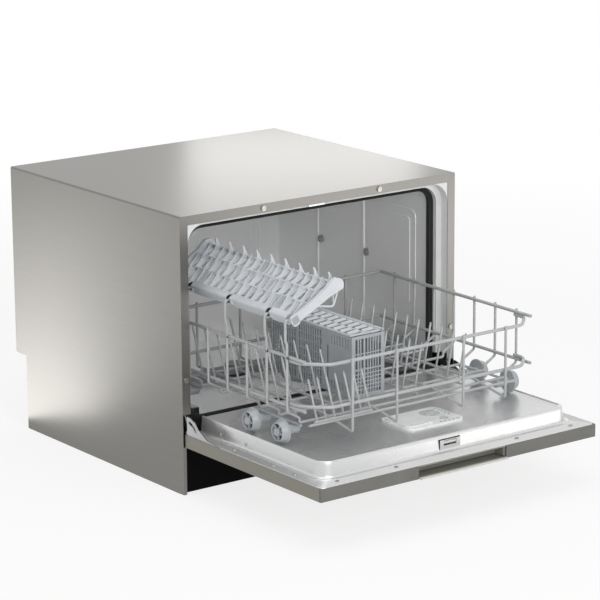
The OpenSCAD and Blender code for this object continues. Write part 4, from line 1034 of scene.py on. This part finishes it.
def shelf_end():
    """Outline of the bar across an end. Its inner corner swells into a rounded nose."""
    foot = [(-1 + 6.5 * cos(radians(a)), 0.5 + 6.5 * sin(radians(a))) for a in range(90, 271, 20)]
    nose = [(88 + 14 * cos(radians(a)), 1 + 13 * sin(radians(a))) for a in range(-50, 111, 16)]
    return foot + [(30, -6), (70, -6)] + nose + [(70, 9), (40, 7)]


for start, stop in ((0.0, END_BAR), (SHELF_LENGTH - END_BAR, SHELF_LENGTH)):
    shelf_parts.append(extruded(shelf_end(), start, stop, on_shelf))
shelf = sheet_mesh("cup_shelf_moulding", *merge(*shelf_parts), "cup_shelf", FINISHES["shelf_plastic"],
                   "shelf_plastic", 40)
bevelled(shelf, 0.35, 1)
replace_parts(shelf, "cup_shelf")
print("cup shelf with", len(shelf.data.polygons), "faces")

# %% Loops under the shelf's ends
LOOP_IN = 4.0                           # the loops hang this far in from each end
loops = []
for v in (LOOP_IN, SHELF_LENGTH - LOOP_IN):
    loops.append(([on_shelf(97, v, 0), on_shelf(70, v, -25), on_shelf(44, v, -5)], 1.8))
    loops.append(([on_shelf(80, v, -4), on_shelf(72, v, -22)], 1.2))
wires("cup_shelf_loops", loops, "cup_shelf", "shelf_plastic", 7.0)
print(len(loops), "loop bars")

# %% [markdown]
# ## The cutlery basket
#
# The basket is injection moulded in polypropylene as open lattices, so that water can reach the cutlery.
# A pattern of holes could be cut with booleans, but a lattice is simpler as two sets of bars: upright bars
# at full thickness, and level ones a little thinner, which also keeps their faces from coinciding. The
# lid is a frame with slanted louvres in two columns, which keep each knife and fork upright.

# %% Slabs, lattices and frames on any wall
cut_low, cut_high = corner("cutlery_basket", 0), corner("cutlery_basket", 1)
CUT_HEIGHT, WALL, RIM_HEIGHT = 98.0, 2.0, 5.0
UPRIGHT, CROSSBAR = 2.2, 1.8            # widths of a lattice's bars
cut_w, cut_l = cut_high.x - cut_low.x, cut_high.y - cut_low.y


def level(axis, at):
    """A function that lays (along, up, depth) on a wall that faces X or Y, or on the floor."""
    if axis == "x":
        return lambda a, b, c: (cut_low.x + at + c, cut_low.y + a, cut_low.z + b)
    if axis == "y":
        return lambda a, b, c: (cut_low.x + a, cut_low.y + at + c, cut_low.z + b)
    return lambda a, b, c: (cut_low.x + a, cut_low.y + b, cut_low.z + at + c)


def slab(place, a, b, depth=(0.0, WALL)):
    """A block from a[0] to a[1] and b[0] to b[1] on a wall."""
    points, faces = box_mesh((a[0], b[0], depth[0]), (a[1], b[1], depth[1]))
    return [place(*p) for p in points], faces


def lattice(place, a, b, columns, rows):
    """Upright bars and thinner level bars that fill the field a by b."""
    made = []
    for k in range(1, columns):
        middle = a[0] + (a[1] - a[0]) * k / columns
        made.append(slab(place, (middle - UPRIGHT / 2, middle + UPRIGHT / 2), b))
    for k in range(1, rows):
        middle = b[0] + (b[1] - b[0]) * k / rows
        made.append(slab(place, a, (middle - CROSSBAR / 2, middle + CROSSBAR / 2), (0.3, WALL - 0.3)))
    return made


def frame_bars(place, a, b, width):
    """The solid frame round a field, as four slabs that meet without overlapping."""
    return [slab(place, (a[0], a[0] + width), b), slab(place, (a[1] - width, a[1]), b),
            slab(place, (a[0] + width, a[1] - width), (b[0], b[0] + width)),
            slab(place, (a[0] + width, a[1] - width), (b[1] - width, b[1]))]


print("cutlery basket", round(cut_w), "by", round(cut_l), "mm")

# %% The long walls
PANEL = cut_l * 0.34                    # length of the smooth panel at the front
PANEL_POST = 3                          # the panel's last upright stands this far behind it
FIELD_FRAME = 3.5                       # width of the frame round each lattice
SLITS, FIRST_SLIT, SLIT_PITCH, SLIT_BAR = 7, 9, 7, 3.2
LOW_SLITS, HIGH_SLITS = (7, 19), (CUT_HEIGHT - 20, CUT_HEIGHT - RIM_HEIGHT)
TALL_SLOT, SLOT_FOOT, SLOT_HEAD = (PANEL - 12, PANEL - 7), 14, 24


def long_wall(at):
    """A side wall: a smooth panel with slits and a slot at the front, and two lattices behind it."""
    place = level("x", at)
    bands = [(0, LOW_SLITS[0]), (LOW_SLITS[1], HIGH_SLITS[0]), (HIGH_SLITS[1], CUT_HEIGHT)]
    parts = [slab(place, (0, TALL_SLOT[0]), band) for band in bands]
    bars = [FIRST_SLIT + SLIT_PITCH * k + s for k in range(SLITS) for s in (SLIT_BAR, SLIT_PITCH)]
    edges = [0, FIRST_SLIT] + bars[:-1] + [TALL_SLOT[0]]
    for band in (LOW_SLITS, HIGH_SLITS):
        parts += [slab(place, (start, stop), band) for start, stop in zip(edges[::2], edges[1::2])]
    parts += [slab(place, TALL_SLOT, (0, SLOT_FOOT)),
              slab(place, TALL_SLOT, (CUT_HEIGHT - SLOT_HEAD, CUT_HEIGHT)),
              slab(place, (TALL_SLOT[1], PANEL + PANEL_POST), (0, CUT_HEIGHT))]
    middle, inset = (PANEL + cut_l) / 2, FIELD_FRAME
    for start, stop in ((PANEL + PANEL_POST, middle), (middle, cut_l)):
        parts += frame_bars(place, (start, stop), (0, CUT_HEIGHT), inset)
        parts += lattice(place, (start + inset, stop - inset), (inset, CUT_HEIGHT - inset), 10, 7)
    return parts


print(len(long_wall(0.0)), "slabs in a long wall")

# %% The end walls
END_FRAME, LEDGE = 5, (42.5, 45)        # the frame's width, and the ledge between small and tall openings
POST = (21, 24.5)                       # the post off the middle, from the frame's inner corner


def end_wall(at):
    """An end wall: a post off centre, tall openings above and small ones below."""
    place = level("y", at)
    inner = (WALL, cut_w - WALL)
    parts = frame_bars(place, inner, (0, CUT_HEIGHT), END_FRAME)
    post = (inner[0] + POST[0], inner[0] + POST[1])
    parts.append(slab(place, post, (END_FRAME, CUT_HEIGHT - END_FRAME)))
    for a, columns in (((inner[0] + END_FRAME, post[0]), 3), ((post[1], inner[1] - END_FRAME), 6)):
        parts += lattice(place, a, (LEDGE[1], CUT_HEIGHT - END_FRAME), columns, 2)
        parts.append(slab(place, a, LEDGE))
        parts += lattice(place, a, (END_FRAME, LEDGE[0]), columns, 6)
    return parts


print(len(end_wall(0.0)), "slabs in an end wall")

# %% Walls, floor and dividers together
FLOOR_FRAME = 4
DIVIDERS, DIVIDER_TOP, DIVIDER_THICK = (0.33, 0.66), 12, 1.6
basket_parts = []
for at in (0.0, cut_w - WALL):
    basket_parts += long_wall(at)
for at in (0.0, cut_l - WALL):
    basket_parts += end_wall(at)
ground, edge = level("z", 0.0), WALL + FLOOR_FRAME
basket_parts += frame_bars(ground, (WALL, cut_w - WALL), (WALL, cut_l - WALL), FLOOR_FRAME)
basket_parts += lattice(ground, (edge, cut_w - WALL - FLOOR_FRAME), (edge, cut_l - WALL - FLOOR_FRAME), 6, 20)
for share in DIVIDERS:
    basket_parts.append(slab(level("y", cut_l * share), (WALL, cut_w - WALL),
                             (WALL, CUT_HEIGHT - DIVIDER_TOP), (0, DIVIDER_THICK)))
print(len(basket_parts), "slabs in the cutlery basket")

# %% Corner posts and hinge knuckles of the cutlery basket
POST_IN = 2.4                           # the corner posts' axes lie this far inside the corners
for x, y in ((POST_IN, POST_IN), (cut_w - POST_IN, POST_IN), (POST_IN, cut_l - POST_IN),
             (cut_w - POST_IN, cut_l - POST_IN)):
    at = (cut_low.x + x, cut_low.y + y, cut_low.z)
    post = [(0.0, 2.0), (0.6, 2.6), (CUT_HEIGHT - 0.6, 2.6), (CUT_HEIGHT, 2.0)]
    basket_parts.append(turned(post, at, (0, 0, 1), 16))
knuckle_y = (cut_low.y + 0.1, cut_high.y - 4.1)
for y in knuckle_y:
    at = (cut_high.x - 2.5, y, cut_low.z + CUT_HEIGHT + 3.1)
    basket_parts.append(turned([(0, 2.3), (0.4, 2.7), (3.6, 2.7), (4.0, 2.3)], at, (0, 1, 0), 20))
    basket_parts.append(box_mesh((cut_high.x - 5, y, cut_low.z + CUT_HEIGHT - 6),
                                 (cut_high.x - 0.2, y + 4, cut_low.z + CUT_HEIGHT + 2.6)))
cutlery = sheet_mesh("cutlery_basket_moulding", *merge(*basket_parts), "cutlery_basket",
                     FINISHES["cutlery_grey"], "cutlery_grey", 40)
bevelled(cutlery, 0.3, 1)
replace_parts(cutlery, "cutlery_basket")
print(len(basket_parts), "blocks in the whole moulding")

# %% Lid of the cutlery basket
lid_low, lid_high = corner("cutlery_lid", 0), corner("cutlery_lid", 1)
LID_THICK, LID_WIDE, LID_EDGE, LID_END, SPINE_HALF = 2.6, 60.5, 4, 5, 2
LOUVRES, LOUVRE_WIDTH, LOUVRE_SKEW = 11, 6.0, 2.2
lid_x = (lid_low.x, lid_low.x + LID_WIDE)


def lid_block(x, y, z=(0.0, LID_THICK)):
    """A block of the lid, its height measured from the lid's underside."""
    return box_mesh((x[0], y[0], lid_low.z + z[0]), (x[1], y[1], lid_low.z + z[1]))


between_x = (lid_x[0] + LID_EDGE, lid_x[1] - LID_EDGE)
between_y = (lid_low.y + LID_END, lid_high.y - LID_END)
spine_x = (lid_x[0] + lid_x[1]) / 2
lid_parts = [lid_block((lid_x[0], between_x[0]), (lid_low.y, lid_high.y)),
             lid_block((between_x[1], lid_x[1]), (lid_low.y, lid_high.y)),
             lid_block(between_x, (lid_low.y, between_y[0])),
             lid_block(between_x, (between_y[1], lid_high.y)),
             lid_block((spine_x - SPINE_HALF, spine_x + SPINE_HALF), between_y, (0.2, LID_THICK))]
print(len(lid_parts), "bars in the lid's frame")

# %% Louvres, and the barrel that the lid turns on
half, lid_length = LOUVRE_WIDTH / 2, lid_high.y - lid_low.y
louvre_pitch = (lid_length - 2 * LID_END) / LOUVRES
outline = [(-half, 0.3), (half - 1.2, 0.3), (half, 1.4), (half, 4.4), (half - 1.6, 4.6), (-half, 2.0)]
for k in range(LOUVRES):
    middle = between_y[0] + louvre_pitch * (k + 0.5)
    for x in ((between_x[0], spine_x - SPINE_HALF), (spine_x + SPINE_HALF, between_x[1])):
        ends = [(x[0], -LOUVRE_SKEW), (x[1], LOUVRE_SKEW)]
        rows = [[(px, middle + shift + dy, lid_low.z + dz) for dy, dz in outline] for px, shift in ends]
        points, faces = skin(rows)
        lid_parts.append((points, faces + [tuple(range(6)), tuple(range(11, 5, -1))]))
barrel = [(0, 2.2), (0.4, 2.7), (lid_length - 0.4, 2.7), (lid_length, 2.2)]
lid_parts.append(turned(barrel, (cut_high.x - 2.5, lid_low.y, lid_low.z + 2.8), (0, 1, 0), 20))
lid = sheet_mesh("cutlery_lid_moulding", *merge(*lid_parts), "cutlery_lid", FINISHES["lid_grey"],
                 "lid_grey", 40)
bevelled(lid, 0.3, 1)
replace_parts(lid, "cutlery_lid")
print(2 * LOUVRES, "louvres")

# %% [markdown]
# ## The door's top edge
#
# The open door shows its top edge to the front: a dark grey strip of painted steel with a hand recess in
# its middle and a lip below to pull on. The recess could be cut into a block, but on the real door it is a
# moulded pocket of its own, so it is built as thin walls in a mid grey. The lip is a pale moulding with a
# rounded nose, and it is a piece of its own because neither strip nor pocket has its colour.

# %% Strip and pull lip
strip_low, strip_high = corner("door_handle", 0), corner("door_handle", 1)
STRIP, RECESS_HALF, RECESS_DEPTH, PULL = 4.0, 87.0, 24.0, 6.0
LIP_RADIUS, LIP_GAP = 1.5, 0.5          # the nose's radius, and what the lip stays short of at its ends
edge_y = strip_low.y + PULL


def rounded_lip():
    """The pull lip's section, in Y and Z, with its free edge rounded, carried across the recess."""
    nose = [(edge_y - PULL + LIP_RADIUS + LIP_RADIUS * cos(radians(a)),
             strip_low.z + LIP_RADIUS + LIP_RADIUS * sin(radians(a))) for a in range(270, 89, -20)]
    section = [(edge_y + 0.5, strip_low.z)] + nose + [(edge_y + 0.5, strip_low.z + 2 * LIP_RADIUS)]
    return extruded(section, -RECESS_HALF + LIP_GAP, RECESS_HALF - LIP_GAP, lambda y, x, z: (x, y, z))


pull = sheet_mesh("pull_lip", *rounded_lip(), "door", FINISHES["lip_grey"], "handle_grey")
bevelled(pull, 0.5, 2)
strip_parts = []
for x0, x1 in ((strip_low.x, -RECESS_HALF), (RECESS_HALF, strip_high.x)):
    strip_parts.append(box_mesh((x0, edge_y, strip_low.z), (x1, edge_y + STRIP, strip_high.z)))
strip = sheet_mesh("door_edge_strip", *merge(*strip_parts), "door", FINISHES["handle_grey"], "handle_grey")
bevelled(strip, 0.8, 3)
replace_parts(strip, "door_handle")
print("strip from x", round(strip_low.x), "to", round(strip_high.x))

# %% The recess: roof, floor, back and two sides
POCKET_WALL, POCKET_BACK = 3, 2         # thickness of its roof and sides, and of its back and floor
inner, floor_y = RECESS_HALF - POCKET_WALL, edge_y + RECESS_DEPTH
back_y = floor_y + POCKET_BACK
low_z, high_z = strip_low.z + POCKET_WALL, strip_high.z - POCKET_WALL
pocket_parts = [box_mesh((-RECESS_HALF, edge_y + 1.5, high_z), (RECESS_HALF, back_y, strip_high.z)),
                box_mesh((-RECESS_HALF, edge_y + 0.6, strip_low.z),
                         (RECESS_HALF, back_y, strip_low.z + POCKET_BACK)),
                box_mesh((-inner, floor_y, low_z), (inner, back_y, high_z))]
for x0, x1 in ((-RECESS_HALF, -inner), (inner, RECESS_HALF)):
    pocket_parts.append(box_mesh((x0, edge_y + STRIP - 0.5, low_z), (x1, back_y, high_z)))
pocket = sheet_mesh("handle_pocket", *merge(*pocket_parts), "door", FINISHES["pocket_grey"], "handle_grey")
bevelled(pocket, 0.6, 2)
print("recess", round(2 * inner), "by", round(RECESS_DEPTH), "mm")

# %% [markdown]
# ## Light and background
#
# The picture is a studio shot on white. The white could come from strong lamps, but they would bleach the
# machine too. So the floor and the world are plain white to the camera and to reflections alone, and the
# floor still takes the machine's soft shadow, most of all near by, and fades to pure white further out.

# %% Floor
FLOOR_HALF, FADE_START, FADE_END = 14.0, 0.9, 2.2       # metres
NEAR_WHITE = 0.8                                        # share of pure white close to the machine


def stage_floor():
    """A sheet of backdrop paper that takes the shadow and fades to pure white."""
    size = FLOOR_HALF
    mesh = bpy.data.meshes.new("studio_floor")
    corners = [(-size, -size, 0), (size, -size, 0), (size, size, 0), (-size, size, 0)]
    mesh.from_pydata(corners, [], [(0, 1, 2, 3)])
    made = bpy.data.objects.new("studio_floor", mesh)
    bpy.context.scene.collection.objects.link(made)
    paint, tree, shader = finish("white_backdrop_paper", Roughness=0.9, Base_Color=linear("#f4f4f3"))
    rays = add(tree, "LightPath")
    seen = add(tree, "Math", {}, {0: rays.outputs["Is Camera Ray"], 1: rays.outputs["Is Glossy Ray"]},
               operation="MAXIMUM")
    seen = add(tree, "Math", {}, {0: seen.outputs[0], 1: rays.outputs["Is Transmission Ray"]},
               operation="MAXIMUM")
    place = add(tree, "TexCoord")
    away = add(tree, "VectorMath", {}, {0: place.outputs["Object"]}, operation="LENGTH")
    fade = add(tree, "MapRange",
               {"From Min": FADE_START, "From Max": FADE_END, "To Min": NEAR_WHITE, "To Max": 1.0},
               {"Value": away.outputs["Value"]})
    share = add(tree, "Math", {}, {0: fade.outputs["Result"], 1: seen.outputs[0]}, operation="MULTIPLY")
    white = add(tree, "Emission", {"Color": linear("#ffffff"), "Strength": 1.0})
    both = add(tree, "MixShader", {}, {0: share.outputs[0], 1: shader.outputs["BSDF"],
                                       2: white.outputs["Emission"]})
    tree.links.new(both.outputs["Shader"], tree.nodes["Material Output"].inputs["Surface"])
    mesh.materials.append(paint)


stage_floor()
print("floor fades to white from", FADE_START, "to", FADE_END, "m")

# %% World
AMBIENT, WHITE = 0.55, 1.0              # how strongly it lights, and how bright it looks
world = bpy.data.worlds.new("studio")
world.use_nodes = True
bpy.context.scene.world = world
sky = world.node_tree
sky.nodes.clear()
rays = add(sky, "LightPath")
seen = add(sky, "Math", {}, {0: rays.outputs["Is Camera Ray"], 1: rays.outputs["Is Glossy Ray"]},
           operation="MAXIMUM")
strength = add(sky, "MapRange", {"To Min": AMBIENT, "To Max": WHITE}, {"Value": seen.outputs[0]})
light = add(sky, "Background", {"Color": linear("#ffffff")}, {"Strength": strength.outputs["Result"]})
add(sky, "OutputWorld", {}, {"Surface": light.outputs["Background"]})
print("world of", len(sky.nodes), "nodes")

# %% [markdown]
# ## Lamps
#
# Two soft lamps light the machine, a large one overhead and one in front to the left. Brushed steel shows
# little but what it mirrors, so two lamps could leave it flat and dull. Three weak ones are added just
# where the steel mirrors them to the camera: behind the cover's top, on the floor beyond its left side, and
# on the floor to the right of the door. They give the broad, slow highlights. The camera sees no lamp.

# %% Softboxes
def softbox(name, place, aim, size, power, along=(0, 0, 1)):
    """A rectangular lamp that shines at a point, with its second side laid along a direction."""
    data = bpy.data.lights.new(name, "AREA")
    data.shape = "RECTANGLE"
    data.size, data.size_y = size
    data.energy = power
    made = bpy.data.objects.new(name, data)
    back = (Vector(place) - Vector(aim)).normalized()
    length = (Vector(along) - back * back.dot(Vector(along))).normalized()
    turned_to = Matrix([length.cross(back), length, back]).transposed().to_4x4()
    made.matrix_world = Matrix.Translation(place) @ turned_to
    made.visible_camera = False
    bpy.context.scene.collection.objects.link(made)


# name, place, point it shines at, width and length in metres, watts, direction of its length
softbox("over", (-0.4, -0.6, 2.6), (0, 0, 0.3), (2.2, 2.0), 20, (0, 1, 0))
softbox("front", (-0.9, -3.2, 1.3), (0.1, -0.1, 0.25), (1.6, 1.2), 36)
softbox("top_sheen", (0.52, 0.50, 0.64), (-0.05, -0.25, 0.45), (0.45, 0.2), 0.55)
softbox("side_sheen", (-0.76, 0.95, 0.01), (-0.76, 0.95, 1.0), (0.22, 1.7), 3.6, (-2.385, 3.86, 0))
softbox("front_sheen", (1.15, -1.5, 0.01), (1.15, -1.5, 1.0), (0.9, 1.4), 9.0, (2.7, -3.5, 0))
print(len(bpy.data.lights), "lamps")
